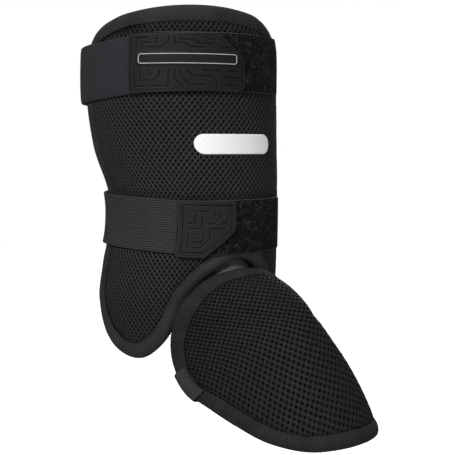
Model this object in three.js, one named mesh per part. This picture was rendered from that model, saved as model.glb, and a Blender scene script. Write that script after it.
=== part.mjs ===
// A batter's leg guard: a padded shin shell with a rounded lobe over the inner ankle,
// a hooded foot guard hung below it on an elastic strip, and two straps that close on
// the front. Millimetres, +Z up, the guard's front faces -Y. The origin lies on the
// inner face of the shin pad's front wall, between the straps.
import * as THREE from 'three';

// Driving dimensions.
const SHIN_HEIGHT = 260;
const CALF_RADIUS = 80;
const UNROLL_RADIUS = 72;
const FOOT_LENGTH = 150;
const FOOT_TURN = 27;
const PAD_THICK = 9.5;
const EDGE_THICK = 5;
const TAPE = 1.2;
const GAP = 0.5;
const SHIN_LAP = 10;
const FOOT_LAP = 10.5;
const RAMP = 5.5;
const MESH_STEP = 10.5;
const RIM_STEP = 7.6;
const STRAP_THICK = 1.8;
const STRAP_LIFT = 0.45;
const LOOP_THICK = 1.5;
const TAB_THICK = 1.8;
const UPPER_WIDTH = 43;
const LOWER_WIDTH = 40;
const BAR_HALF = 26;
const BAR_ROUND = 7.5;
const SOLE_SAG = 5;

// Cross sections of the shin pad's outer face, low to high. z is a share of
// SHIN_HEIGHT; half width, half depth and sideways shift are shares of CALF_RADIUS.
const SECTIONS = [
  { z: -0.620, wide: 0.888, deep: 0.875, shift: -0.063 },
  { z: -0.430, wide: 0.903, deep: 0.886, shift: -0.059 },
  { z: -0.327, wide: 0.883, deep: 0.874, shift: -0.031 },
  { z: -0.231, wide: 0.855, deep: 0.862, shift: 0.000 },
  { z: -0.127, wide: 0.861, deep: 0.868, shift: -0.003 },
  { z: 0.000, wide: 0.929, deep: 0.936, shift: -0.063 },
  { z: 0.138, wide: 0.963, deep: 0.990, shift: -0.094 },
  { z: 0.285, wide: 0.963, deep: 0.984, shift: -0.095 },
  { z: 0.338, wide: 0.934, deep: 0.948, shift: -0.098 },
  { z: 0.385, wide: 0.872, deep: 0.882, shift: -0.095 },
  { z: 0.423, wide: 0.785, deep: 0.790, shift: -0.088 },
];
// The front line of the sections, as a share of CALF_RADIUS ahead of the leg's axis.
const FRONT_SHARE = 0.861;

// Outline of the shin pad: degrees round from the front (plus toward the outer side)
// and height as a share of SHIN_HEIGHT.
const SHIN_RIM = [
  { turn: 0, z: 0.402 }, { turn: -30, z: 0.394 }, { turn: -52, z: 0.374 },
  { turn: -66.5, z: 0.337 }, { turn: -75, z: 0.254 }, { turn: -76.5, z: 0.115 },
  { turn: -76, z: -0.115 }, { turn: -77, z: -0.346 }, { turn: -74.5, z: -0.458 },
  { turn: -65, z: -0.540 }, { turn: -50, z: -0.587 }, { turn: -36, z: -0.594 },
  { turn: -24, z: -0.558 }, { turn: -14, z: -0.494 }, { turn: -7, z: -0.419 },
  { turn: 1, z: -0.373 }, { turn: 11, z: -0.335 }, { turn: 22, z: -0.310 },
  { turn: 33, z: -0.315 }, { turn: 43, z: -0.342 }, { turn: 50, z: -0.385 },
  { turn: 56, z: -0.440 }, { turn: 66, z: -0.477 }, { turn: 76, z: -0.435 },
  { turn: 79, z: -0.269 }, { turn: 79, z: 0.000 }, { turn: 77.5, z: 0.231 },
  { turn: 67.5, z: 0.331 }, { turn: 52, z: 0.378 }, { turn: 30, z: 0.396 },
];

// Rim of the foot guard, inner side first: ahead of the leg's axis along the foot,
// across the foot and height, all as shares of FOOT_LENGTH.
const FOOT_RIM = [
  { ahead: 1.280, across: -0.040, z: -1.300 }, { ahead: 1.217, across: -0.227, z: -1.303 },
  { ahead: 1.040, across: -0.310, z: -1.297 }, { ahead: 0.813, across: -0.320, z: -1.270 },
  { ahead: 0.613, across: -0.322, z: -1.233 }, { ahead: 0.440, across: -0.332, z: -1.183 },
  { ahead: 0.357, across: -0.350, z: -1.087 }, { ahead: 0.345, across: -0.368, z: -0.950 },
  { ahead: 0.410, across: -0.352, z: -0.762 }, { ahead: 0.474, across: -0.244, z: -0.630 },
  { ahead: 0.515, across: -0.107, z: -0.584 }, { ahead: 0.532, across: 0.013, z: -0.584 },
  { ahead: 0.512, across: 0.133, z: -0.624 }, { ahead: 0.453, across: 0.240, z: -0.713 },
  { ahead: 0.373, across: 0.317, z: -0.827 }, { ahead: 0.320, across: 0.340, z: -0.953 },
  { ahead: 0.327, across: 0.333, z: -1.087 }, { ahead: 0.440, across: 0.330, z: -1.187 },
  { ahead: 0.613, across: 0.333, z: -1.240 }, { ahead: 0.813, across: 0.333, z: -1.273 },
  { ahead: 1.047, across: 0.310, z: -1.297 }, { ahead: 1.213, across: 0.207, z: -1.303 },
];
// Crown of the foot guard's hood, as shares of FOOT_LENGTH, and how far its axis leans.
const CROWN = { ahead: 0.900, across: 0.057, z: -0.808, lean: 51 };

const radians = THREE.MathUtils.degToRad;

// Smooth reading of one column of the sections at height z.
function section(key, z) {
  const rows = SECTIONS;
  const share = THREE.MathUtils.clamp(z / SHIN_HEIGHT, rows[0].z, rows[rows.length - 1].z);
  let i = 0;
  while (i < rows.length - 2 && rows[i + 1].z < share) i += 1;
  const slope = (n) => {
    const a = rows[Math.max(n - 1, 0)];
    const b = rows[Math.min(n + 1, rows.length - 1)];
    return (b[key] - a[key]) / (b.z - a.z);
  };
  const span = rows[i + 1].z - rows[i].z;
  const t = (share - rows[i].z) / span;
  const value = (2 * t ** 3 - 3 * t ** 2 + 1) * rows[i][key]
    + (t ** 3 - 2 * t ** 2 + t) * span * slope(i)
    + (3 * t ** 2 - 2 * t ** 3) * rows[i + 1][key]
    + (t ** 3 - t ** 2) * span * slope(i + 1);
  return value * CALF_RADIUS;
}

// Point of the shin pad's outer face, before any lift.
function shinBase(turn, z) {
  const angle = radians(turn);
  const deep = section('deep', z);
  const x = section('shift', z) + section('wide', z) * Math.sin(angle);
  const y = deep - FRONT_SHARE * CALF_RADIUS - deep * Math.cos(angle);
  return new THREE.Vector3(x, y, z);
}

function frameOf(base, a, b) {
  const step = 0.05;
  const du = base(a + step, b).sub(base(a - step, b));
  const dv = base(a, b + step).sub(base(a, b - step));
  return du.cross(dv).normalize();
}

function shinPoint(turn, z, lift) {
  return shinBase(turn, z).addScaledVector(frameOf(shinBase, turn, z), lift);
}

// The shin's unrolled sheet: x runs round the leg, y is the height.
const shinSheet = {
  point: (p, lift) => shinPoint(THREE.MathUtils.radToDeg(p.x / UNROLL_RADIUS), p.y, lift),
  flat: (turn, z) => new THREE.Vector2(radians(turn) * UNROLL_RADIUS, z),
};

function footPlace(row) {
  const turn = radians(FOOT_TURN);
  const s = row.ahead * FOOT_LENGTH;
  const l = row.across * FOOT_LENGTH;
  return new THREE.Vector3(
    s * Math.sin(turn) + l * Math.cos(turn),
    l * Math.sin(turn) - s * Math.cos(turn),
    row.z * FOOT_LENGTH,
  );
}

const footRim = new THREE.CatmullRomCurve3(FOOT_RIM.map(footPlace), true, 'centripetal');
footRim.arcLengthDivisions = 800;
const crown = footPlace(CROWN);
const crownAxis = new THREE.Vector3(
  Math.sin(radians(CROWN.lean)) * Math.sin(radians(FOOT_TURN)),
  -Math.sin(radians(CROWN.lean)) * Math.cos(radians(FOOT_TURN)),
  Math.cos(radians(CROWN.lean)),
);
const crownSlope = new THREE.Vector3(
  Math.cos(radians(CROWN.lean)) * Math.sin(radians(FOOT_TURN)),
  -Math.cos(radians(CROWN.lean)) * Math.cos(radians(FOOT_TURN)),
  -Math.sin(radians(CROWN.lean)),
);
const rimCache = new Map();
function rimAt(t) {
  const key = Math.round((t - Math.floor(t)) * 1e6);
  if (!rimCache.has(key)) rimCache.set(key, footRim.getPointAt((key % 1e6) / 1e6));
  return rimCache.get(key);
}

// Point of the hood at turn t (0 to 1 round the rim) and share k from crown to rim.
function footBase(t, k) {
  const rim = rimAt(t);
  const reach = rim.clone().sub(crown);
  const drop = reach.dot(crownAxis);
  const spread = reach.clone().addScaledVector(crownAxis, -drop);
  const facing = spread.dot(crownSlope) / spread.length();
  const power = 2 / (1.80 + 0.28 * facing);
  const turn = radians(FOOT_TURN);
  const ahead = (rim.x * Math.sin(turn) - rim.y * Math.cos(turn)) / FOOT_LENGTH;
  const rear = THREE.MathUtils.clamp((0.70 - ahead) / 0.333, 0, 1)
    * THREE.MathUtils.clamp((rim.z / FOOT_LENGTH + 1.133) / 0.367, 0, 1);
  const end = radians(84 - 50 * rear - 40 * Math.max(facing, 0) ** 2);
  const rise = (a) => Math.sin(a) ** power;
  const fall = (a) => 1 - Math.cos(a) ** power;
  const share = Math.max(k, 1e-4);
  return crown.clone()
    .addScaledVector(spread, rise(end * share) / rise(end))
    .addScaledVector(crownAxis, drop * fall(end * share) / fall(end));
}

const LENGTHS = [];
for (let i = 0; i < 96; i += 1) {
  let length = 0;
  for (let j = 0; j < 16; j += 1) {
    length += footBase(i / 96, j / 16).distanceTo(footBase(i / 96, (j + 1) / 16));
  }
  LENGTHS.push(length);
}
function footLength(t) {
  const place = (t - Math.floor(t)) * 96;
  const i = Math.floor(place);
  return THREE.MathUtils.lerp(LENGTHS[i % 96], LENGTHS[(i + 1) % 96], place - i);
}

// The hood's flattened sheet: a disc round the crown, as long as the true path.
function footSheetBase(x, y) {
  const t = Math.atan2(y, x) / (2 * Math.PI);
  return footBase(t, Math.hypot(x, y) / footLength(t));
}
const footSheet = {
  point: (p, lift) => footSheetBase(p.x, p.y)
    .addScaledVector(frameOf(footSheetBase, p.x, p.y), lift * HOOD_SIDE),
  flat: (t, k) => {
    const r = footLength(t) * k;
    return new THREE.Vector2(r * Math.cos(2 * Math.PI * t), r * Math.sin(2 * Math.PI * t));
  },
};
const HOOD_SIDE = Math.sign(frameOf(footSheetBase, 20, 15).dot(crownAxis));

// Evenly spaced samples of a closed outline in a flat sheet, anticlockwise.
function rimSamples(corners, step) {
  const loop = new THREE.CatmullRomCurve3(
    corners.map((p) => new THREE.Vector3(p.x, p.y, 0)), true, 'centripetal');
  loop.arcLengthDivisions = 1200;
  const count = Math.round(loop.getLength() / step);
  const out = loop.getSpacedPoints(count).slice(0, count).map((p) => new THREE.Vector2(p.x, p.y));
  if (THREE.ShapeUtils.area(out) < 0) out.reverse();
  return out;
}

// The same for an outline of straight edges.
function edgeSamples(corners, step) {
  const out = [];
  corners.forEach((a, i) => {
    const b = corners[(i + 1) % corners.length];
    const parts = Math.max(1, Math.round(a.distanceTo(b) / step));
    for (let j = 0; j < parts; j += 1) out.push(a.clone().lerp(b, j / parts));
  });
  if (THREE.ShapeUtils.area(out) < 0) out.reverse();
  return out;
}

// Inward directions of a closed outline.
function inwards(rim) {
  return rim.map((p, i) => {
    const a = rim[(i + rim.length - 1) % rim.length];
    const b = rim[(i + 1) % rim.length];
    return new THREE.Vector2(a.y - b.y, b.x - a.x).normalize();
  });
}

function depthInside(p, rim) {
  let best = Infinity;
  let inside = false;
  rim.forEach((a, i) => {
    const b = rim[(i + 1) % rim.length];
    const edge = b.clone().sub(a);
    const t = THREE.MathUtils.clamp(p.clone().sub(a).dot(edge) / edge.lengthSq(), 0, 1);
    best = Math.min(best, p.distanceTo(a.clone().addScaledVector(edge, t)));
    if ((a.y > p.y) !== (b.y > p.y) && p.x < a.x + (p.y - a.y) * edge.x / edge.y) inside = !inside;
  });
  return inside ? best : -best;
}

// Delaunay triangles of the points that lie inside the rim (the first points).
function triangulate(points, rimCount) {
  const nudge = (n) => 1e-4 * Math.sin(12.9898 * n + 4.1);
  const all = points.map((p, n) => ({ x: p.x + nudge(n), y: p.y + nudge(n + 0.5) }));
  const first = all.length;
  all.push({ x: -9000, y: -8000 }, { x: 9000, y: -8100 }, { x: 10, y: 9500 });
  const circle = (a, b, c) => {
    const [p, q, r] = [all[a], all[b], all[c]];
    const d = 2 * (p.x * (q.y - r.y) + q.x * (r.y - p.y) + r.x * (p.y - q.y));
    const [pp, qq, rr] = [p, q, r].map((v) => v.x * v.x + v.y * v.y);
    const x = (pp * (q.y - r.y) + qq * (r.y - p.y) + rr * (p.y - q.y)) / d;
    const y = (pp * (r.x - q.x) + qq * (p.x - r.x) + rr * (q.x - p.x)) / d;
    return { a, b, c, x, y, rr: (p.x - x) ** 2 + (p.y - y) ** 2 };
  };
  let faces = [circle(first, first + 1, first + 2)];
  for (let n = 0; n < first; n += 1) {
    const edges = new Map();
    const keep = [];
    faces.forEach((f) => {
      if ((all[n].x - f.x) ** 2 + (all[n].y - f.y) ** 2 >= f.rr) {
        keep.push(f);
        return;
      }
      [[f.a, f.b], [f.b, f.c], [f.c, f.a]].forEach(([u, v]) => {
        if (edges.has(`${v},${u}`)) edges.delete(`${v},${u}`);
        else edges.set(`${u},${v}`, [u, v]);
      });
    });
    faces = keep;
    edges.forEach(([u, v]) => faces.push(circle(u, v, n)));
  }
  const rim = points.slice(0, rimCount);
  return faces
    .filter((f) => Math.max(f.a, f.b, f.c) < first)
    .filter((f) => {
      const middle = points[f.a].clone().add(points[f.b]).add(points[f.c]).divideScalar(3);
      return depthInside(middle, rim) > 0;
    })
    .map((f) => {
      const [p, q, r] = [points[f.a], points[f.b], points[f.c]];
      const turn = (q.x - p.x) * (r.y - p.y) - (q.y - p.y) * (r.x - p.x);
      return turn > 0 ? [f.a, f.b, f.c] : [f.a, f.c, f.b];
    });
}

function solid(name, vertices, faces, material) {
  const geometry = new THREE.BufferGeometry();
  geometry.setAttribute('position', new THREE.Float32BufferAttribute(
    vertices.flatMap((v) => [v.x, v.y, v.z]), 3));
  let volume = 0;
  faces.forEach(([a, b, c]) => {
    volume += vertices[a].dot(vertices[b].clone().cross(vertices[c]));
  });
  geometry.setIndex(faces.flatMap(([a, b, c]) => (volume > 0 ? [a, b, c] : [a, c, b])));
  geometry.computeVertexNormals();
  const mesh = new THREE.Mesh(geometry, material);
  mesh.name = name;
  return mesh;
}

// A closed slab over a sheet, between an under side and an upper side whose lifts
// depend on the distance from the rim.
function slab(name, sheet, rim, rings, step, under, upper, material) {
  const points = rim.map((p) => p.clone());
  const into = inwards(rim);
  rings.forEach((depth) => {
    rim.forEach((p, i) => {
      const q = p.clone().addScaledVector(into[i], depth);
      const clear = points.slice(rim.length).every((o) => o.distanceTo(q) > 0.42 * RIM_STEP);
      if (clear && depthInside(q, rim) > 0.97 * depth) points.push(q);
    });
  });
  const box = new THREE.Box2().setFromPoints(rim);
  const last = rings.length ? rings[rings.length - 1] : 0;
  const rows = Math.max(1, Math.round((box.max.y - box.min.y) / (step * 0.866)));
  const high = (box.max.y - box.min.y) / rows;
  for (let j = 0; j <= rows; j += 1) {
    const y = box.min.y + high * (j + 0.5);
    for (let x = box.min.x + (j % 2 ? 0.25 : 0.75) * step; x < box.max.x; x += step) {
      const q = new THREE.Vector2(x, y);
      if (depthInside(q, rim) > last + 0.5 * step) points.push(q);
    }
  }
  const faces = triangulate(points, rim.length);
  const depths = points.map((p, i) => (i < rim.length ? 0 : depthInside(p, rim)));
  const total = points.length;
  const vertices = [
    ...points.map((p, i) => sheet.point(p, upper(depths[i]))),
    ...points.map((p, i) => sheet.point(p, under(depths[i]))),
  ];
  const skin = faces.map(([a, b, c]) => [a, b, c]);
  faces.forEach(([a, b, c]) => skin.push([a + total, c + total, b + total]));
  rim.forEach((p, i) => {
    const n = (i + 1) % rim.length;
    skin.push([i, i + total, n + total], [i, n + total, n]);
  });
  return solid(name, vertices, skin, material);
}

// A closed sweep: stations of equal profiles, joined round (looped) or capped.
function sweep(name, stations, looped, material) {
  const size = stations[0].length;
  const faces = [];
  const last = looped ? stations.length : stations.length - 1;
  for (let i = 0; i < last; i += 1) {
    const n = ((i + 1) % stations.length) * size;
    for (let j = 0; j < size; j += 1) {
      const k = (j + 1) % size;
      faces.push([i * size + j, i * size + k, n + k], [i * size + j, n + k, n + j]);
    }
  }
  if (!looped) {
    const end = (stations.length - 1) * size;
    for (let j = 0; j < size / 2 - 1; j += 1) {
      const k = size - 1 - j;
      faces.push([j, k, k - 1], [j, k - 1, j + 1]);
      faces.push([end + j, end + k - 1, end + k], [end + j, end + j + 1, end + k - 1]);
    }
  }
  return solid(name, stations.flat(), faces, material);
}

// Edge tape folded over a pad's rim.
function binding(name, sheet, rim, lap, material) {
  const into = inwards(rim);
  const under = -(TAPE + 2 * GAP + EDGE_THICK);
  const bottom = under - TAPE;
  const stations = rim.map((p, i) => {
    const at = (depth, lift) => {
      if (depth >= 0) return sheet.point(p.clone().addScaledVector(into[i], depth), lift);
      const edge = sheet.point(p, 0);
      const back = sheet.point(p.clone().addScaledVector(into[i], 0.5), 0);
      return sheet.point(p, lift).addScaledVector(edge.sub(back).normalize(), -depth);
    };
    const out = -(TAPE + GAP);
    return [
      at(lap, 0), at(1.2, 0), at(out, -1.8), at(out, bottom + 1.8), at(1.2, bottom),
      at(lap, bottom), at(lap, under), at(-GAP, under), at(-GAP, -TAPE), at(lap, -TAPE),
    ];
  });
  return sweep(name, stations, true, material);
}

// Lifts of a pad's two faces: a thin flat edge for the tape, then a ramp to full depth.
function padUpper(lap) {
  return (depth) => {
    const t = THREE.MathUtils.clamp((depth - lap - 1) / RAMP, 0, 1);
    return -(TAPE + GAP) * (1 - t);
  };
}
function padUnder(lap) {
  return (depth) => {
    const t = THREE.MathUtils.clamp((depth - lap - 1) / RAMP, 0, 1);
    return -(TAPE + GAP + EDGE_THICK) * (1 - t) - PAD_THICK * t;
  };
}

const cloth = (color, roughness = 0.9) => new THREE.MeshStandardMaterial({ color, roughness });
const MESH_CLOTH = cloth(0x242424);
const EDGE_TAPE = cloth(0x363637);
const WEBBING = cloth(0x26292b);
const ELASTIC = cloth(0x343536);
const TAB_FACE = cloth(0x282b2e, 0.6);
const LOWER_TAB_FACE = cloth(0x343536, 0.6);
const LOOP_PILE = cloth(0x17181a, 0.98);
const WHITE_FILM = cloth(0xf0f0f3, 0.5);

const guard = new THREE.Group();
guard.name = 'leg_guard';
const origin = shinPoint(0, 0, -PAD_THICK - GAP);
const body = [];

// Shin pad and its tape.
const shinRim = rimSamples(SHIN_RIM.map((r) => shinSheet.flat(r.turn, r.z * SHIN_HEIGHT)), RIM_STEP);
body.push(slab('shin_pad', shinSheet, shinRim, [SHIN_LAP + 1, SHIN_LAP + 1 + RAMP], MESH_STEP,
  padUnder(SHIN_LAP), padUpper(SHIN_LAP), MESH_CLOTH));
body.push(binding('shin_binding', shinSheet, shinRim, SHIN_LAP, EDGE_TAPE));

// Foot guard and its tape.
const footCount = Math.round(footRim.getLength() / RIM_STEP);
const footFlat = [];
for (let i = 0; i < footCount; i += 1) footFlat.push(footSheet.flat(i / footCount, 1));
if (THREE.ShapeUtils.area(footFlat) < 0) footFlat.reverse();
body.push(slab('foot_pad', footSheet, footFlat, [FOOT_LAP + 1, FOOT_LAP + 1 + RAMP], MESH_STEP,
  padUnder(FOOT_LAP), padUpper(FOOT_LAP), MESH_CLOTH));
body.push(binding('foot_binding', footSheet, footFlat, FOOT_LAP, EDGE_TAPE));

// Straps. Each runs from under its tab back over the inner edge, round the calf and
// inside the outer edge. The rows give the turn, the strap's middle height as a share
// of SHIN_HEIGHT and the lift of its under side.
const UPPER_PATH = [
  { turn: -26, z: 0.244, lift: STRAP_LIFT }, { turn: -50, z: 0.232, lift: STRAP_LIFT },
  { turn: -76, z: 0.223, lift: STRAP_LIFT + 0.4 }, { turn: -84, z: 0.221, lift: 0.6 },
  { turn: -94, z: 0.219, lift: -2.6 }, { turn: -112, z: 0.215, lift: -6.5 },
  { turn: -150, z: 0.212, lift: -8 }, { turn: -180, z: 0.213, lift: -8.5 },
  { turn: -215, z: 0.220, lift: -9 }, { turn: -255, z: 0.236, lift: -10.5 },
  { turn: -276, z: 0.245, lift: -11.9 }, { turn: -300, z: 0.250, lift: -11.9 },
];
const LOWER_PATH = [
  { turn: -11, z: -0.220, lift: STRAP_LIFT }, { turn: -40, z: -0.210, lift: STRAP_LIFT },
  { turn: -75, z: -0.202, lift: STRAP_LIFT + 0.4 }, { turn: -84, z: -0.201, lift: 0.6 },
  { turn: -95, z: -0.200, lift: -2.6 }, { turn: -114, z: -0.199, lift: -6.5 },
  { turn: -150, z: -0.200, lift: -8 }, { turn: -180, z: -0.202, lift: -8.5 },
  { turn: -215, z: -0.206, lift: -9 }, { turn: -255, z: -0.212, lift: -10.5 },
  { turn: -276, z: -0.216, lift: -11.9 }, { turn: -300, z: -0.219, lift: -11.9 },
];

function strap(name, path, width, count, material) {
  const line = new THREE.CatmullRomCurve3(
    path.map((r) => new THREE.Vector3(r.turn, r.z * SHIN_HEIGHT, r.lift * 3)), false, 'centripetal');
  line.arcLengthDivisions = 600;
  const stations = line.getSpacedPoints(count).map((p) => {
    const rows = [0, 1, 2, 3].map((n) => p.y + width * (n / 3 - 0.5));
    const under = rows.map((z) => shinPoint(p.x, z, p.z / 3));
    const upper = rows.map((z) => shinPoint(p.x, z, p.z / 3 + STRAP_THICK)).reverse();
    return [...under, ...upper];
  });
  return sweep(name, stations, false, material);
}
body.push(strap('upper_strap', UPPER_PATH, UPPER_WIDTH, 56, WEBBING));
body.push(strap('lower_strap', LOWER_PATH, LOWER_WIDTH, 52, ELASTIC));

// Flat pieces laid on the shin: outline corners as turn and share of SHIN_HEIGHT.
function laid(name, corners, low, thick, step, material) {
  const flat = corners.map(([turn, z]) => shinSheet.flat(turn, z * SHIN_HEIGHT));
  return slab(name, shinSheet, edgeSamples(flat, step), [], step * 1.15,
    () => low, () => low + thick, material);
}
const TAB_LIFT = STRAP_LIFT + STRAP_THICK + 0.4;
body.push(laid('upper_loop_pad', [[-22, 0.165], [67, 0.165], [67, 0.333], [-22, 0.333]],
  STRAP_LIFT, LOOP_THICK, 9, LOOP_PILE));
body.push(laid('lower_loop_pad', [[-7.5, -0.302], [69, -0.296], [69, -0.140], [-7.5, -0.142]],
  STRAP_LIFT, LOOP_THICK, 9, LOOP_PILE));
body.push(laid('upper_tab', [[-35.5, 0.160], [29, 0.170], [29, 0.258], [12.5, 0.331], [-35.5, 0.325]],
  TAB_LIFT, TAB_THICK, 8, TAB_FACE));
body.push(laid('lower_tab', [[-16, -0.302], [1, -0.307], [19.5, -0.230], [19.7, -0.146], [-16, -0.140]],
  TAB_LIFT, TAB_THICK, 8, LOWER_TAB_FACE));

// A plain white bar on the shin's outer half.
const bar = [];
for (let i = 0; i < 16; i += 1) {
  const a = (i + 0.5) * Math.PI / 8;
  const side = Math.sign(Math.cos(a));
  bar.push(shinSheet.flat(25, 0.017 * SHIN_HEIGHT)
    .add(new THREE.Vector2(side * BAR_HALF + BAR_ROUND * Math.cos(a), BAR_ROUND * Math.sin(a))));
}
body.push(slab('white_bar', shinSheet, edgeSamples(bar, 8), [], 9, () => STRAP_LIFT, () => STRAP_LIFT + 0.6,
  WHITE_FILM));

// Elastic strip from inside the shin's arch to inside the foot guard's rear rim.
function footSpot(t, depth, lift) {
  return footSheet.point(footSheet.flat(t, 1 - depth / footLength(t)), lift);
}
const wall = 2 * TAPE + 2 * GAP + EDGE_THICK;
const HINGE = [
  { turn: 5, edge: -0.366, t: 0.434 }, { turn: 15, edge: -0.332, t: 0.457 },
  { turn: 25, edge: -0.318, t: 0.477 }, { turn: 35, edge: -0.330, t: 0.495 },
  { turn: 44, edge: -0.362, t: 0.510 },
];
const hinge = HINGE.map(({ turn, edge, t }) => {
  const pair = (spot, lift) => [spot(lift), spot(lift - 1.6)];
  return [
    pair((lift) => shinPoint(turn, -0.223 * SHIN_HEIGHT, lift), -PAD_THICK - 0.5),
    pair((lift) => shinPoint(turn, -0.269 * SHIN_HEIGHT, lift), -PAD_THICK - 0.5),
    pair((lift) => shinPoint(turn, edge * SHIN_HEIGHT, lift), -wall - 0.8),
    pair((lift) => footSpot(t, 3, lift), -wall - 0.6),
    pair((lift) => footSpot(t, 0.08 * FOOT_LENGTH, lift), -PAD_THICK - 0.5),
    pair((lift) => footSpot(t, 0.147 * FOOT_LENGTH, lift), -PAD_THICK - 0.5),
  ];
});
// A strip between rails, each a list of paired points on its two faces.
function strip(name, rails, material) {
  return sweep(name, rails[0].map((row, j) => [
    ...rails.map((rail) => rail[j][0]), ...rails.map((rail) => rail[j][1]).reverse()]),
  false, material);
}
body.push(strip('instep_elastic', hinge, ELASTIC));

// Keeper folded over the inner rim, and the sole strap across to the outer rim.
const KEEPER = [0.243, 0.2585, 0.274, 0.2895];
const OUTER_END = [0.742, 0.728, 0.714, 0.700];
function overRim(t, out, lift) {
  const away = footSpot(t, 0, 0).sub(footSpot(t, 0.5, 0)).normalize();
  return footSpot(t, 0, lift).addScaledVector(away, out);
}
const rimOut = TAPE + GAP + 0.7;
const keeperRows = KEEPER.map((t) => [
  [footSpot(t, FOOT_LAP + 0.5, 0.5), footSpot(t, FOOT_LAP + 0.5, 2)],
  [footSpot(t, 1.2, 0.6), footSpot(t, 1.2, 2.1)],
  [overRim(t, rimOut, -1.6), overRim(t, rimOut + 1.5, -1.1)],
  [overRim(t, rimOut, -wall + 1.2), overRim(t, rimOut + 1.5, -wall + 0.7)],
  [footSpot(t, 1.2, -wall - 0.9), footSpot(t, 1.2, -wall - 2.4)],
  [footSpot(t, FOOT_LAP - 1.5, -wall - 0.9), footSpot(t, FOOT_LAP - 1.5, -wall - 2.4)],
]);
body.push(strip('sole_keeper', keeperRows, WEBBING));

const soleRails = KEEPER.map((t, n) => {
  const far = OUTER_END[n];
  const lows = [[t, FOOT_LAP - 1.5], [t, 2.5], [far, 2.5], [far, FOOT_LAP + 1.5]].map(([at, depth], j) => {
    const lift = -wall - (j < 2 ? 2.9 : 0.8);
    return [footSpot(at, depth, lift), footSpot(at, depth, lift - 1.6)];
  });
  const middle = [0.17, 0.34, 0.5, 0.66, 0.83].map((share) => {
    const bow = Math.sin(Math.PI * share);
    const low = lows[1][0].clone().lerp(lows[2][0], share);
    low.z -= SOLE_SAG * bow;
    const inner = lows[1][1].clone().sub(lows[1][0]).lerp(lows[2][1].clone().sub(lows[2][0]), share);
    inner.z += 1.6 * bow;
    return [low, low.clone().addScaledVector(inner.normalize(), 1.6)];
  });
  return [lows[0], lows[1], ...middle, lows[2], lows[3]];
});
body.push(strip('sole_strap', soleRails, ELASTIC));

body.forEach((mesh) => {
  mesh.geometry.translate(-origin.x, -origin.y, -origin.z);
  guard.add(mesh);
});

export default guard;
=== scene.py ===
"""A batter's leg guard, dressed: meshed pads, ribbed edge tape, straps, tabs and loop pile.

Everything is worked out in millimetres in the leg's own frame (z up, y back, x to the outer
side) and moved to the part's origin when a piece is made.
"""
import math

import bpy
import numpy as np
from mathutils import Matrix, Vector


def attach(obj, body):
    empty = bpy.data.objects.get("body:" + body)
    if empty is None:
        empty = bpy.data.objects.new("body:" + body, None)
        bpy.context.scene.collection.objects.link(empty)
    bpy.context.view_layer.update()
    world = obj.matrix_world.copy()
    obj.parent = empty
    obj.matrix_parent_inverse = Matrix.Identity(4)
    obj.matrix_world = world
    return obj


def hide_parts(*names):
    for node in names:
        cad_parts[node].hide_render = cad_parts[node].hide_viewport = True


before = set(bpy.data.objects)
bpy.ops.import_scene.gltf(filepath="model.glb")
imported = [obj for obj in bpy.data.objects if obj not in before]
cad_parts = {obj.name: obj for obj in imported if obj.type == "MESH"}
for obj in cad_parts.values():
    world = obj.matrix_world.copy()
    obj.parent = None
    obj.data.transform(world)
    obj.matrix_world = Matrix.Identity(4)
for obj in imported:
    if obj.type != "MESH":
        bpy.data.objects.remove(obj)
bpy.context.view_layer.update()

# Named sizes, as in the part's source.
SHIN_HEIGHT = 260.0
CALF_RADIUS = 80.0
UNROLL_RADIUS = 72.0
FOOT_LENGTH = 150.0
FOOT_TURN = math.radians(27)
PAD_THICK = 9.5
EDGE_THICK = 5.0
TAPE = 1.2
GAP = 0.5
SHIN_LAP = 10.0
FOOT_LAP = 10.5
RAMP = 5.5
STRAP_THICK = 1.8
STRAP_LIFT = 0.45
LOOP_THICK = 1.5
TAB_THICK = 1.8
UPPER_WIDTH = 43.0
LOWER_WIDTH = 40.0
TAB_LIFT = STRAP_LIFT + STRAP_THICK + 0.4
WALL = 2 * TAPE + 2 * GAP + EDGE_THICK

# Cross sections: z share of SHIN_HEIGHT; half width, half depth, shift shares of CALF_RADIUS.
SECTIONS = np.array([
    (-0.620, 0.888, 0.875, -0.063), (-0.430, 0.903, 0.886, -0.059),
    (-0.327, 0.883, 0.874, -0.031), (-0.231, 0.855, 0.862, 0.000),
    (-0.127, 0.861, 0.868, -0.003), (0.000, 0.929, 0.936, -0.063),
    (0.138, 0.963, 0.990, -0.094), (0.285, 0.963, 0.984, -0.095),
    (0.338, 0.934, 0.948, -0.098), (0.385, 0.872, 0.882, -0.095),
    (0.423, 0.785, 0.790, -0.088)])
FRONT_SHARE = 0.861
# Outline of the shin pad: degrees round from the front, share of SHIN_HEIGHT.
SHIN_RIM = np.array([
    (0, 0.402), (-30, 0.394), (-52, 0.374), (-66.5, 0.337), (-75, 0.254), (-76.5, 0.115),
    (-76, -0.115), (-77, -0.346), (-74.5, -0.458), (-65, -0.540), (-50, -0.587),
    (-36, -0.594), (-24, -0.558), (-14, -0.494), (-7, -0.419), (1, -0.373), (11, -0.335),
    (22, -0.310), (33, -0.315), (43, -0.342), (50, -0.385), (56, -0.440), (66, -0.477),
    (76, -0.435), (79, -0.269), (79, 0.000), (77.5, 0.231), (67.5, 0.331), (52, 0.378),
    (30, 0.396)])
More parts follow.
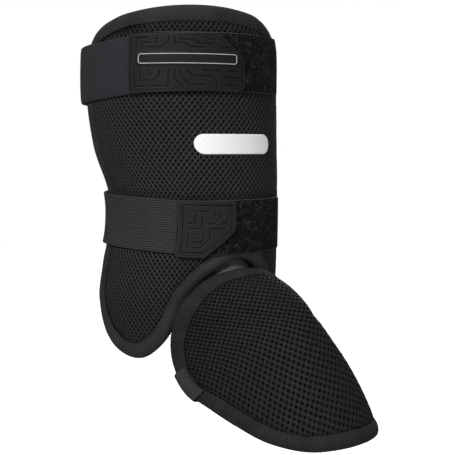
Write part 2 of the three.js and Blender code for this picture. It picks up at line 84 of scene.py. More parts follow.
# Rim of the foot guard: ahead, across and height as shares of FOOT_LENGTH.
FOOT_RIM = np.array([
    (1.280, -0.040, -1.300), (1.217, -0.227, -1.303), (1.040, -0.310, -1.297),
    (0.813, -0.320, -1.270), (0.613, -0.322, -1.233), (0.440, -0.332, -1.183),
    (0.357, -0.350, -1.087), (0.345, -0.368, -0.950), (0.410, -0.352, -0.762),
    (0.474, -0.244, -0.630), (0.515, -0.107, -0.584), (0.532, 0.013, -0.584),
    (0.512, 0.133, -0.624), (0.453, 0.240, -0.713), (0.373, 0.317, -0.827),
    (0.320, 0.340, -0.953), (0.327, 0.333, -1.087), (0.440, 0.330, -1.187),
    (0.613, 0.333, -1.240), (0.813, 0.333, -1.273), (1.047, 0.310, -1.297),
    (1.213, 0.207, -1.303)])
CROWN = (0.900, 0.057, -0.808)
CROWN_LEAN = math.radians(51)
# Samples of the foot's rim, and steps in a span of a spline.
RIM_COUNT, SPAN_STEPS = 4000, 40


# ---------------------------------------------------------------- surfaces
def catmull(points, count, closed=True):
    """Centripetal spline through the points, sampled at equal arc length: a cubic over each
    span, whose end slopes weigh the spans beside it by the square roots of their lengths."""
    p = np.asarray(points, float)
    if closed:
        q = p[np.arange(-1, len(p) + 2) % len(p)]
        spans = len(p)
    else:
        q = np.vstack([2 * p[0] - p[1], p, 2 * p[-1] - p[-2]])
        spans = len(p) - 1
    t = np.linspace(0, 1, SPAN_STEPS, endpoint=False)[:, None]
    rows = []
    for i in range(spans):
        p0, p1, p2, p3 = q[i], q[i + 1], q[i + 2], q[i + 3]
        a, b, c = [max(np.linalg.norm(v) ** 0.5, 1e-6) for v in (p1 - p0, p2 - p1, p3 - p2)]
        t1 = ((p1 - p0) / a - (p2 - p0) / (a + b) + (p2 - p1) / b) * b
        t2 = ((p2 - p1) / b - (p3 - p1) / (b + c) + (p3 - p2) / c) * b
        rows.append((2 * t**3 - 3 * t**2 + 1) * p1 + (t**3 - 2 * t**2 + t) * t1
                    + (3 * t**2 - 2 * t**3) * p2 + (t**3 - t**2) * t2)
    line = np.vstack(rows + [p[:1] if closed else p[-1:]])
    run = np.r_[0, np.cumsum(np.linalg.norm(np.diff(line, axis=0), axis=1))]
    at = np.linspace(0, run[-1], count, endpoint=not closed)
    return np.stack([np.interp(at, run, line[:, k]) for k in range(p.shape[1])], -1)


def hermite(x, xs, ys):
    """Cubic curve through the points xs, ys. The slope at each is that of the line between
    its neighbours; past the ends the value stays."""
    m = np.empty_like(ys)
    m[1:-1] = (ys[2:] - ys[:-2]) / (xs[2:] - xs[:-2])
    m[0] = (ys[1] - ys[0]) / (xs[1] - xs[0])
    m[-1] = (ys[-1] - ys[-2]) / (xs[-1] - xs[-2])
    x = np.clip(x, xs[0], xs[-1])
    i = np.clip(np.searchsorted(xs, x) - 1, 0, len(xs) - 2)
    h = xs[i + 1] - xs[i]
    t = (x - xs[i]) / h
    return ((2 * t**3 - 3 * t**2 + 1) * ys[i] + (t**3 - 2 * t**2 + t) * h * m[i]
            + (3 * t**2 - 2 * t**3) * ys[i + 1] + (t**3 - t**2) * h * m[i + 1])


def shin_base(u, v):
    """Ellipse of the shin's section at height v, at arc u of the unrolled sheet: across is
    the shift plus the half width times the sine of the angle, back is the half depth less
    the front's place and less the half depth times the cosine."""
    z = np.asarray(v, float)
    angle = np.asarray(u, float) / UNROLL_RADIUS
    wide, deep, shift = [hermite(z / SHIN_HEIGHT, SECTIONS[:, 0], SECTIONS[:, k]) * CALF_RADIUS
                         for k in (1, 2, 3)]
    return np.stack([shift + wide * np.sin(angle),
                     deep - FRONT_SHARE * CALF_RADIUS - deep * np.cos(angle), z + 0 * angle], -1)


def foot_place(rows):
    """Leg millimetres of rows ahead, across and up as shares of FOOT_LENGTH: the first two
    are turned by FOOT_TURN about the vertical."""
    rows = np.asarray(rows, float) * FOOT_LENGTH
    s, l = rows[..., 0], rows[..., 1]
    return np.stack([s * math.sin(FOOT_TURN) + l * math.cos(FOOT_TURN),
                     l * math.sin(FOOT_TURN) - s * math.cos(FOOT_TURN), rows[..., 2]], -1)


RIM_TABLE = catmull(foot_place(FOOT_RIM), RIM_COUNT)
CROWN_AT = foot_place(CROWN)
AXIS = np.array([math.sin(CROWN_LEAN) * math.sin(FOOT_TURN),
                 -math.sin(CROWN_LEAN) * math.cos(FOOT_TURN), math.cos(CROWN_LEAN)])
SLOPE = np.array([math.cos(CROWN_LEAN) * math.sin(FOOT_TURN),
                  -math.cos(CROWN_LEAN) * math.cos(FOOT_TURN), -math.sin(CROWN_LEAN)])


def foot_polar(t, k):
    """The hood at turn t and share k, from crown (0) to rim (1). The way out to the rim goes
    with a power of the sine of an angle, and the drop with one less that power of its cosine.
    The angle grows with k to an end of 84 degrees, less at the rear and down the slope."""
    t = np.asarray(t, float) % 1.0
    k = np.maximum(np.asarray(k, float), 1e-4)
    place = t * RIM_COUNT
    i = np.floor(place).astype(int)
    w = (place - i)[..., None]
    rim = RIM_TABLE[i % RIM_COUNT] * (1 - w) + RIM_TABLE[(i + 1) % RIM_COUNT] * w
    reach = rim - CROWN_AT
    drop = reach @ AXIS
    spread = reach - drop[..., None] * AXIS
    facing = (spread @ SLOPE) / np.linalg.norm(spread, axis=-1)
    power = 2 / (1.80 + 0.28 * facing)
    ahead = (rim[..., 0] * math.sin(FOOT_TURN) - rim[..., 1] * math.cos(FOOT_TURN)) / FOOT_LENGTH
    rear = (np.clip((0.70 - ahead) / 0.333, 0, 1)
            * np.clip((rim[..., 2] / FOOT_LENGTH + 1.133) / 0.367, 0, 1))
    end = np.radians(84 - 50 * rear - 40 * np.maximum(facing, 0) ** 2)
    rise = np.sin(end * k) ** power / np.sin(end) ** power
    fall = (1 - np.maximum(np.cos(end * k), 0) ** power) / (1 - np.cos(end) ** power)
    return CROWN_AT + spread * rise[..., None] + AXIS * (drop * fall)[..., None]


def walk_runs(turns, steps):
    """Running lengths from the crown to the rim at evenly spaced turns: the straight hops
    between points at even shares, added up."""
    t = np.arange(turns)[:, None] / turns
    k = np.linspace(0, 1, steps + 1)[None]
    walk = foot_polar(np.repeat(t, steps + 1, 1), np.repeat(k, turns, 0))
    hops = np.linalg.norm(np.diff(walk, axis=1), axis=-1)
    return np.concatenate([np.zeros((turns, 1)), np.cumsum(hops, axis=1)], 1)


LENGTH_TURNS = 96
LENGTHS = walk_runs(LENGTH_TURNS, 16)[:, -1]


def foot_length(t):
    """Length of the path from crown to rim at turn t, interpolated between the walks."""
    return np.interp(np.asarray(t, float) % 1.0, np.arange(LENGTH_TURNS + 1) / LENGTH_TURNS,
                     np.r_[LENGTHS, LENGTHS[0]])


def foot_base(x, y):
    """The hood's flattened disc: x, y from the crown, as long as the true path."""
    t = np.arctan2(y, x) / (2 * np.pi)
    return foot_polar(t, np.hypot(x, y) / foot_length(t))


def normal_of(base, u, v, step=0.05):
    """Unit normal of a surface: the cross product of its differences over a small step to
    either side."""
    du = base(u + step, v) - base(u - step, v)
    dv = base(u, v + step) - base(u, v - step)
    n = np.cross(du, dv)
    return n / np.maximum(np.linalg.norm(n, axis=-1, keepdims=True), 1e-12)


def lifted(base, side=1.0):
    """A surface with lift: its base point plus the lift times the normal, turned outwards
    by side."""
    def at(p, lift):
        """Points of the surface at flat points p and a lift."""
        p = np.asarray(p, float)
        n = normal_of(base, p[..., 0], p[..., 1]) * side
        return base(p[..., 0], p[..., 1]) + n * np.asarray(lift)[..., None]
    return at


def hood_side(base):
    """1 where the normal of a map of the hood goes along AXIS near the crown, else -1."""
    return float(np.sign(normal_of(base, np.array(20.0), np.array(15.0)) @ AXIS))


shin_at = lifted(shin_base)
foot_at = lifted(foot_base, hood_side(foot_base))


def shin_flat(turn, z):
    """Flat millimetres of a turn in degrees and a height: the arc is the turn in radians
    times UNROLL_RADIUS."""
    z = np.asarray(z, float) + 0 * np.asarray(turn)
    return np.stack([np.radians(turn) * UNROLL_RADIUS, z], -1)


def foot_flat(t, k):
    """Flat millimetres on the foot's disc: at turn t, k times the path's length out."""
    r = foot_length(t) * k
    return np.stack([r * np.cos(2 * np.pi * t), r * np.sin(2 * np.pi * t)], -1)


def shin_spot(turn, z, lift):
    """A point by degrees round, height and lift."""
    turn, z, lift = np.broadcast_arrays(*[np.asarray(a, float) for a in (turn, z, lift)])
    return shin_at(shin_flat(turn, z), lift)


ORIGIN = shin_spot(0.0, 0.0, -PAD_THICK - GAP)


# ---------------------------------------------------------------- mesh making
def make_piece(name, points, faces, finish, replaces=(), uv=None, tone=None):
    """A piece from points in leg millimetres and faces, a list of index arrays with one
    array per corner count; faces are turned outwards by the sign of the enclosed volume."""
    co = ((np.asarray(points).reshape(-1, 3) - ORIGIN) / 1000).astype(np.float32)
    faces = [np.asarray(f) for f in faces if len(f)]
    volume = 0.0
    for f in faces:
        p = co[f].astype(float)
        for k in range(1, f.shape[1] - 1):
            volume += np.einsum("ij,ij->", p[:, 0], np.cross(p[:, k], p[:, k + 1]))
    if volume < 0:
        faces = [f[:, ::-1] for f in faces]
    loops = np.concatenate([f.ravel() for f in faces]).astype(np.int32)
    sizes = np.concatenate([np.full(len(f), f.shape[1]) for f in faces])
    mesh = bpy.data.meshes.new(name)
    mesh.vertices.add(len(co))
    mesh.vertices.foreach_set("co", co.ravel())
    mesh.loops.add(len(loops))
    mesh.loops.foreach_set("vertex_index", loops)
    mesh.polygons.add(len(sizes))
    mesh.polygons.foreach_set("loop_start", np.r_[0, np.cumsum(sizes)[:-1]].astype(np.int32))
    mesh.polygons.foreach_set("use_smooth", np.ones(len(sizes), bool))
    mesh.update(calc_edges=True)
    if uv is not None:
        layer = mesh.uv_layers.new(name="UVMap")
        layer.data.foreach_set("uv", np.asarray(uv, np.float32).reshape(-1, 2)[loops].ravel())
    if tone is not None:
        layer = mesh.attributes.new("tone", "FLOAT", "POINT")
        layer.data.foreach_set("value", np.asarray(tone, np.float32).ravel())
    mesh.materials.append(finish)
    piece = bpy.data.objects.new(name, mesh)
    bpy.context.scene.collection.objects.link(piece)
    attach(piece, "root")
    if replaces:
        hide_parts(*replaces)
    return piece


def grid_faces(rows, cols, wrap_rows=False, wrap_cols=False, start=0):
    """Quads of a grid of rows by cols points, joined round where asked."""
    i = np.arange(rows if wrap_rows else rows - 1)[:, None]
    j = np.arange(cols if wrap_cols else cols - 1)[None]
    n, m = (i + 1) % rows, (j + 1) % cols
    quads = np.stack([i * cols + j, i * cols + m, n * cols + m, n * cols + j], -1)
    return (start + quads).reshape(-1, 4)


def two_faced(top, under):
    """A closed piece between two grids with the same columns, the under one with fewer rows:
    both faces, walls of quads at the first and last row, one flat face at either side."""
    rows, cols = top.shape[:2]
    low = len(under)
    half = rows * cols
    upper = np.arange(half).reshape(rows, cols)
    lower = half + np.arange(low * cols).reshape(low, cols)
    walls = [np.stack([a[:-1], b[:-1], b[1:], a[1:]], -1)
             for a, b in ((upper[0], lower[0]), (lower[-1], upper[-1]))]
    sides = np.stack([np.r_[upper[:, 0], lower[::-1, 0]], np.r_[lower[:, -1], upper[::-1, -1]]])
    back = grid_faces(low, cols, start=half)[:, ::-1]
    faces = [np.concatenate([grid_faces(rows, cols), back] + walls), sides]
    return np.concatenate([top.reshape(-1, 3), under.reshape(-1, 3)]), faces


def tube(rings, looped):
    """A sweep of equal closed rings; open ends are closed with one flat face each."""
    rows, cols = rings.shape[:2]
    faces = [grid_faces(rows, cols, looped, True)]
    if not looped:
        faces.append(np.stack([np.arange(cols)[::-1], (rows - 1) * cols + np.arange(cols)]))
    return rings.reshape(-1, 3), faces


def scatter(spots, along, up, shape, shape_faces):
    """One small shape placed at every spot: its x runs along, its z up, its y across."""
    along = along / np.linalg.norm(along, axis=1, keepdims=True)
    side = np.cross(up, along)
    side /= np.linalg.norm(side, axis=1, keepdims=True)
    up = np.cross(along, side)
    axes = np.stack([along, side, up], 1)
    points = spots[:, None] + np.einsum("pk,nkc->npc", shape, axes)
    shift = (np.arange(len(spots)) * len(shape))[:, None, None]
    return points.reshape(-1, 3), [(f[None] + shift).reshape(-1, f.shape[1]) for f in shape_faces]


def stitch_shape(length, radius):
    """A short thread: three hexagonal rings between two end points, a little arched."""
    a = np.arange(6) * np.pi / 3
    rings = []
    for x, r, z in ((-0.36, 0.8, 0.0), (0.0, 1.0, 0.12), (0.36, 0.8, 0.0)):
        rings.append(np.stack([0 * a + x * length, r * radius * np.cos(a),
                               r * radius * np.sin(a) + z], -1))
    tips = [[-0.5 * length, 0, -0.3 * radius], [0.5 * length, 0, -0.3 * radius]]
    points = np.vstack(rings + [tips])
    j = np.arange(6)
    n = (j + 1) % 6
    caps = np.vstack([np.stack([0 * j + 18, n, j], -1), np.stack([0 * j + 19, 12 + j, 12 + n], -1)])
    return points, [grid_faces(3, 6, False, True), caps]


def stitch_line(surface, line, lift, pitch=2.9, length=2.2, radius=0.3):
    """Threads spaced by pitch along a flat line on a surface."""
    line = np.asarray(line, float)
    run = np.r_[0, np.cumsum(np.linalg.norm(np.diff(line, axis=0), axis=1))]
    at = np.arange(pitch / 2, run[-1], pitch)
    near = [np.stack([np.interp(at + s, run, line[:, k]) for k in (0, 1)], -1)
            for s in (-0.6, 0, 0.6)]
    low = np.full(len(at), lift)
    spots = surface(near[1], low)
    along = surface(near[2], low) - surface(near[0], low)
    up = surface(near[1], low + 0.5) - spots
    return scatter(spots, along, up, *stitch_shape(length, radius))


def gather(parts):
    """Several point and face lists as one."""
    points, faces, start = [], {}, 0
    for p, fs in parts:
        points.append(p)
        for f in fs:
            faces.setdefault(f.shape[1], []).append(f + start)
        start += len(p)
    return np.vstack(points), [np.concatenate(f) for f in faces.values()]


def smooth(x):
    """0 below 0, 1 above 1, and three x squared less two x cubed between."""
    x = np.clip(x, 0, 1)
    return x * x * (3 - 2 * x)


def peak(x, middle, width):
    """A bell: e to the power of minus the square of the distance over the width."""
    return np.exp(-((x - middle) / width) ** 2)


def rounded(depth, radius):
    """Height share of a quarter circle at a depth from an edge, 1 past the radius."""
    return np.sqrt(np.clip(1 - (1 - np.clip(depth / radius, 0, 1)) ** 2, 0, 1))


def flat_depth(rim, step=1.0):
    """Distance inside a closed outline as a smooth lookup over a 1 mm raster."""
    lo, hi = rim.min(0) - 6, rim.max(0) + 6
    xs, ys = np.arange(lo[0], hi[0], step), np.arange(lo[1], hi[1], step)
    gx, gy = np.meshgrid(xs, ys, indexing="ij")
    a, b = rim, np.roll(rim, -1, 0)
    edge = b - a
    field = np.empty(gx.shape)
    for i in range(len(xs)):
        p = np.stack([gx[i], gy[i]], -1)[:, None]
        t = np.clip(((p - a) * edge).sum(-1) / (edge**2).sum(-1), 0, 1)
        far = np.linalg.norm(p - a - t[..., None] * edge, axis=-1).min(1)
        crosses = ((a[:, 1] > p[..., 1]) != (b[:, 1] > p[..., 1])) & (
            p[..., 0] < a[:, 0] + (p[..., 1] - a[:, 1]) * edge[:, 0]
            / np.where(np.abs(edge[:, 1]) < 1e-9, 1e-9, edge[:, 1]))
        field[i] = np.where(crosses.sum(1) % 2 == 1, far, -far)

    def depth(p):
        """The four raster values round a point, weighed by how near it lies to each."""
        x = np.clip((p[..., 0] - xs[0]) / step, 0, len(xs) - 1.001)
        y = np.clip((p[..., 1] - ys[0]) / step, 0, len(ys) - 1.001)
        i, j = x.astype(int), y.astype(int)
        s, t = x - i, y - j
        return ((1 - s) * (1 - t) * field[i, j] + s * (1 - t) * field[i + 1, j]
                + (1 - s) * t * field[i, j + 1] + s * t * field[i + 1, j + 1])
    return depth


def inward(rim, reach):
    """Inward directions of a closed outline, from points a little before and after."""
    n = max(1, int(round(reach / np.linalg.norm(rim[1] - rim[0]))))
    d = np.roll(rim, -n, 0) - np.roll(rim, n, 0)
    d /= np.linalg.norm(d, axis=1, keepdims=True)
    area = np.sum(rim[:, 0] * np.roll(rim[:, 1], -1) - np.roll(rim[:, 0], -1) * rim[:, 1])
    return np.stack([-d[:, 1], d[:, 0]], -1) * np.sign(area)


# ---------------------------------------------------------------- finishes
def settle(node, **values):
    """Set a node's inputs by name, an underscore standing for a space."""
    for label, value in values.items():
        node.inputs[label.replace("_", " ")].default_value = value


def node_group(name, inputs, outputs):
    """A node group with inputs of a label, kind and start value, and outputs."""
    tree = bpy.data.node_groups.new(name, "ShaderNodeTree")
    for label, kind, value in inputs:
        socket = tree.interface.new_socket(name=label, in_out="INPUT", socket_type=kind)
        socket.default_value = value
    for label, kind in outputs:
        tree.interface.new_socket(name=label, in_out="OUTPUT", socket_type=kind)
    return tree, tree.nodes.new("NodeGroupInput"), tree.nodes.new("NodeGroupOutput")


def maths(tree, operation, a, b=None, clamp=False):
    """One math node: numbers are set on its inputs, and sockets linked to them."""
    node = tree.nodes.new("ShaderNodeMath")
    node.operation = operation
    node.use_clamp = clamp
    for slot, value in zip(node.inputs, (a, b)):
        if value is None:
            continue
        if isinstance(value, (int, float)):
            slot.default_value = value
        else:
            tree.links.new(value, slot)
    return node.outputs[0]


def noise(tree, vector, scale, detail):
    """Noise over a vector, from 0 to 1, at a scale and with finer layers by detail."""
    node = tree.nodes.new("ShaderNodeTexNoise")
    settle(node, Scale=scale, Detail=detail)
    tree.links.new(vector, node.inputs["Vector"])
    return node.outputs["Fac"]


def build_cloth_tone():
    """Broad fading, fine mottling and pale lint specks over a base colour."""
    tree, come, go = node_group("cloth_tone", [
        ("Color", "NodeSocketColor", (0.02, 0.02, 0.02, 1)),
        ("Vector", "NodeSocketVector", (0, 0, 0)), ("Fading", "NodeSocketFloat", 0.25),
        ("Mottle", "NodeSocketFloat", 0.25), ("Lint", "NodeSocketFloat", 0.3)],
        [("Color", "NodeSocketColor"), ("Roughness", "NodeSocketFloat")])
    broad = noise(tree, come.outputs["Vector"], 26.0, 3.0)
    fine = noise(tree, come.outputs["Vector"], 900.0, 2.0)
    speck = noise(tree, come.outputs["Vector"], 1500.0, 0.0)
    a = maths(tree, "MULTIPLY", maths(tree, "SUBTRACT", broad, 0.5), come.outputs["Fading"])
    b = maths(tree, "MULTIPLY", maths(tree, "SUBTRACT", fine, 0.5), come.outputs["Mottle"])
    gain = maths(tree, "ADD", maths(tree, "MULTIPLY", maths(tree, "ADD", a, b), 2.0), 1.0)
    lint = maths(tree, "MULTIPLY", maths(tree, "SUBTRACT", speck, 0.74, True), 4.0)
    lint = maths(tree, "MULTIPLY", lint, come.outputs["Lint"], True)
    tint = tree.nodes.new("ShaderNodeVectorMath")
    tint.operation = "SCALE"
    tree.links.new(come.outputs["Color"], tint.inputs[0])
    tree.links.new(gain, tint.inputs["Scale"])
    mix = tree.nodes.new("ShaderNodeMix")
    mix.data_type = "RGBA"
    mix.inputs["B"].default_value = (0.16, 0.16, 0.17, 1)
    tree.links.new(lint, mix.inputs["Factor"])
    tree.links.new(tint.outputs[0], mix.inputs["A"])
    tree.links.new(mix.outputs["Result"], go.inputs["Color"])
    rough = maths(tree, "ADD", maths(tree, "MULTIPLY", fine, 0.2), 0.68, True)
    tree.links.new(rough, go.inputs["Roughness"])
    return tree


def build_weave():
    """Height of a plain weave: crossed rows of threads that pass over and under."""
    tree, come, go = node_group("weave", [
        ("Vector", "NodeSocketVector", (0, 0, 0)), ("Across", "NodeSocketFloat", 1200.0),
        ("Along", "NodeSocketFloat", 1200.0)], [("Height", "NodeSocketFloat")])
    split = tree.nodes.new("ShaderNodeSeparateXYZ")
    tree.links.new(come.outputs["Vector"], split.inputs[0])
    full_turn = 6.2832
    counts = [maths(tree, "MULTIPLY", split.outputs[k], come.outputs[n])
              for k, n in (("X", "Across"), ("Y", "Along"))]
    turns = [maths(tree, "MULTIPLY", c, full_turn) for c in counts]
    waves = [maths(tree, "SINE", t) for t in turns]
    threads = [maths(tree, "ABSOLUTE", maths(tree, "SINE", maths(tree, "MULTIPLY", t, 0.5)))
               for t in turns]
    over = maths(tree, "MULTIPLY", waves[0], waves[1])
    body = maths(tree, "ADD", threads[0], threads[1])
    fuzz = maths(tree, "MULTIPLY", noise(tree, come.outputs["Vector"], 3000.0, 2.0), 0.2)
    height = maths(tree, "ADD", maths(tree, "ADD", maths(tree, "MULTIPLY", over, 0.5), body), fuzz)
    tree.links.new(height, go.inputs["Height"])
    return tree


CLOTH_TONE = build_cloth_tone()
WEAVE = build_weave()


def grey(level, blue=None):
    """A grey colour, or one whose blue differs a little."""
    return (level, level, level if blue is None else blue)


def finish(name, color, level, rough=0.85, sheen=0.0, fading=0.25, mottle=0.25, lint=0.3,
           weave=None, depth=0.0001, dark=None, pale=None):
    """A cloth finish: a toned base colour, or a ramp from dark by it to pale over the
    piece's own tone attribute, and a woven or grainy relief. Where rough is None, the
    roughness follows the fine mottling."""
    made = bpy.data.materials.new(name)
    made.use_nodes = True
    tree = made.node_tree
    shader = tree.nodes["Principled BSDF"]
    settle(shader, Specular_IOR_Level=level, Sheen_Weight=sheen, Sheen_Roughness=0.5,
           Sheen_Tint=(0.5, 0.5, 0.52, 1))
    coord = tree.nodes.new("ShaderNodeTexCoord")
    tone = tree.nodes.new("ShaderNodeGroup")
    tone.node_tree = CLOTH_TONE
    settle(tone, Fading=fading, Mottle=mottle, Lint=lint)
    tree.links.new(coord.outputs["Object"], tone.inputs["Vector"])
    if dark is None:
        tone.inputs["Color"].default_value = (*color, 1)
    else:
        read = tree.nodes.new("ShaderNodeAttribute")
        read.attribute_name = "tone"
        ramp = tree.nodes.new("ShaderNodeValToRGB")
        stops = ramp.color_ramp.elements
        stops[0].color = (*dark, 1)
        stops[1].color = (*pale, 1)
        stops.new(0.5).color = (*color, 1)
        tree.links.new(read.outputs["Fac"], ramp.inputs["Fac"])
        tree.links.new(ramp.outputs["Color"], tone.inputs["Color"])
    tree.links.new(tone.outputs["Color"], shader.inputs["Base Color"])
    if rough is None:
        tree.links.new(tone.outputs["Roughness"], shader.inputs["Roughness"])
    else:
        shader.inputs["Roughness"].default_value = rough
    bump = tree.nodes.new("ShaderNodeBump")
    settle(bump, Distance=depth, Strength=1.0)
    if weave:
        relief = tree.nodes.new("ShaderNodeGroup")
        relief.node_tree = WEAVE
        settle(relief, Across=weave[0], Along=weave[1])
        tree.links.new(coord.outputs["UV"], relief.inputs["Vector"])
        tree.links.new(relief.outputs["Height"], bump.inputs["Height"])
    else:
        tree.links.new(noise(tree, coord.outputs["Object"], 1400.0, 3.0), bump.inputs["Height"])
    tree.links.new(bump.outputs["Normal"], shader.inputs["Normal"])
    return made


# The strong mottle is partly random tone and partly painted glints on the yarn.
NET = finish("net_yarn", grey(0.0115), dark=grey(0.0003), pale=grey(0.027), level=0.12,
             rough=0.8, mottle=0.8, lint=0.2)
# A darker copy of the net yarn for the foot guard: painted shade, as the lower parts get less
# light. Its strong mottle also paints glints.
SHADED_FOOT_NET = finish("shaded_foot_net_yarn", grey(0.0078), dark=grey(0.0003), pale=grey(0.0155),
                  level=0.1, rough=0.8, mottle=0.8, lint=0.2)
LINING = finish("knit_lining", grey(0.014, 0.0145), level=0.12, sheen=0.08, fading=0.3,
                weave=(420.0, 520.0), depth=0.00022)
TAPE_CLOTH = finish("edge_tape", grey(0.0140, 0.0144), dark=grey(0.0022),
                    pale=grey(0.035, 0.0355), level=0.16, rough=None, fading=0.2,
                    weave=(900.0, 900.0), depth=0.00006)
# A darker copy of the edge tape for the foot guard: painted shade, as the lower parts get less
# light.
SHADED_FOOT_TAPE = finish("shaded_foot_edge_tape", grey(0.0086, 0.0089), dark=grey(0.0012),
                   pale=grey(0.025, 0.0253), level=0.14, rough=None, fading=0.2,
                   weave=(900.0, 900.0), depth=0.00006)
STRAP_CLOTH = finish("strap_cloth", (0.0140, 0.0158, 0.0180), level=0.18, rough=0.8,
                     fading=0.15, weave=(700.0, 1400.0), depth=0.00008)
KEEPER_CLOTH = finish("keeper_cloth", grey(0.025, 0.0255), dark=grey(0.007),
                      pale=grey(0.036, 0.0365), level=0.18, rough=0.8,
                      weave=(700.0, 1400.0), depth=0.00008)
ELASTIC = finish("ribbed_elastic", grey(0.0145, 0.015), dark=grey(0.005),
                 pale=grey(0.031, 0.0315), level=0.15, weave=(1500.0, 1500.0), depth=0.00006)
# A much lighter copy of the ribbed elastic for the instep strip: painted light over the shade it
# sits in.
LIT_INSTEP_ELASTIC = finish("instep_elastic", grey(0.072, 0.077), dark=grey(0.014, 0.016),
                        pale=grey(0.115, 0.122), level=0.15, weave=(1500.0, 1500.0),
                        depth=0.00006)
PILE = finish("loop_pile", grey(0.0070, 0.0074), dark=grey(0.0010), pale=grey(0.042, 0.044),
              level=0.08, rough=0.95, sheen=0.02, mottle=0.6, lint=0.5, depth=0.0003)
TAB = finish("moulded_tab", (0.0040, 0.0046, 0.0053), dark=grey(0.0005, 0.0007),
             pale=(0.022, 0.023, 0.024), level=0.15, rough=0.6, mottle=0.1, lint=0.1,
             depth=0.00003)
LOW_TAB = finish("moulded_low_tab", grey(0.0070, 0.0074), dark=grey(0.0012, 0.0014),
                 pale=grey(0.026, 0.0265), level=0.16, rough=0.6, mottle=0.1, lint=0.1,
                 depth=0.00003)
FILM = finish("white_film", grey(0.67, 0.685), level=0.4, rough=0.45, fading=0.01,
              mottle=0.02, lint=0.0, depth=0.00002)
THREAD = finish("thread", grey(0.011, 0.0115), level=0.25, rough=0.7, depth=0.00004)
PRINT = finish("pale_print", (0.33, 0.34, 0.35), level=0.3, rough=0.55, fading=0.05,
               mottle=0.08, lint=0.0, depth=0.00002)


# ---------------------------------------------------------------- where straps press
# Middle lines of the straps: degrees round, share of SHIN_HEIGHT, lift in mm.
UPPER_PATH = np.array([
    (-26, 0.244, STRAP_LIFT), (-50, 0.232, STRAP_LIFT), (-76, 0.223, STRAP_LIFT + 0.4),
    (-84, 0.221, 0.6), (-94, 0.219, -2.6), (-112, 0.215, -6.5), (-150, 0.212, -8.0),
    (-180, 0.213, -8.5), (-215, 0.220, -9.0), (-255, 0.236, -10.5), (-276, 0.245, -11.9),
    (-300, 0.250, -11.9)])
LOWER_PATH = np.array([
    (-11, -0.220, STRAP_LIFT), (-40, -0.210, STRAP_LIFT), (-75, -0.202, STRAP_LIFT + 0.4),
    (-84, -0.201, -0.4), (-95, -0.200, -4.8), (-114, -0.199, -8.0), (-150, -0.200, -8.0),
    (-180, -0.202, -8.5), (-215, -0.206, -9.0), (-255, -0.212, -10.5), (-276, -0.216, -11.9),
    (-300, -0.219, -11.9)])
# Bands that press the net: turns, shares of SHIN_HEIGHT at them, half width, last turn.
PRESSED = [
    ((-90, -76, -50, -26, 70), (0.223, 0.223, 0.232, 0.244, 0.249), UPPER_WIDTH / 2, 67.5),
    ((-90, -75, -40, -11, 70), (-0.202, -0.202, -0.210, -0.220, -0.218), LOWER_WIDTH / 2,
     69.5)]


def strap_cover(p):
    """How far inside the straps' and loop pads' bands a flat shin point lies, in mm: the
    nearer of the band's long edge and its end, at 1.25 mm a degree."""
    turn = np.degrees(p[..., 0] / UNROLL_RADIUS)
    best = np.full(turn.shape, -99.0)
    for turns, shares, half, end in PRESSED:
        mid = np.interp(turn, turns, np.array(shares) * SHIN_HEIGHT)
        best = np.maximum(best, np.minimum(half - np.abs(p[..., 1] - mid), (end - turn) * 1.25))
    return best


# ---------------------------------------------------------------- pads
SHIN_RIBS, FOOT_RIBS = 410, 300
SHIN_RIM_LINE = catmull(shin_flat(SHIN_RIM[:, 0], SHIN_RIM[:, 1] * SHIN_HEIGHT), 4 * SHIN_RIBS)
FOOT_RIM_LINE = foot_flat(np.arange(4 * FOOT_RIBS) / (4 * FOOT_RIBS), 1.0)
shin_depth = flat_depth(SHIN_RIM_LINE[::6])
foot_depth = flat_depth(FOOT_RIM_LINE[::5])

# The foot net's sheet goes by direction about the hood's axis, known at WAY_COUNT turns, and
# by true distance from the crown, known at RUN_TURNS turns and RUN_STEPS steps.
WAY_COUNT, RUN_TURNS, RUN_STEPS = 720, 144, 64
TURNS = np.arange(WAY_COUNT) / WAY_COUNT
RIM_REACH = RIM_TABLE[(TURNS * RIM_COUNT).astype(int)] - CROWN_AT
WAYS = np.unwrap(np.arctan2(RIM_REACH @ np.cross(AXIS, SLOPE), RIM_REACH @ SLOPE))
WAY_SIGN = np.sign(WAYS[-1] - WAYS[0])
WAYS *= WAY_SIGN
RUNS = walk_runs(RUN_TURNS, RUN_STEPS)
RUNS = np.vstack([RUNS, RUNS[:1]])
SHARES = np.linspace(0, 1, RUN_STEPS + 1)
# Share k at even shares of the running length, a row for each turn.
STEPS = np.stack([np.interp(SHARES, r / r[-1], SHARES) for r in RUNS])
# How the cloth lies there: the turn of the sheet; from where on the outer flank a share of
# the way on is added, and how softly; the share of the way back behind the crown that is
# taken off, and how softly; and where points off the hood are put, in mm.
NET_TURN = math.radians(-10)
FLANK, FLANK_SHARE, FLANK_EASE = 12.0, 1.25, 5.0
BACK_SHARE, BACK_EASE = 0.5, 6.0
OFF_HOOD = 999.0


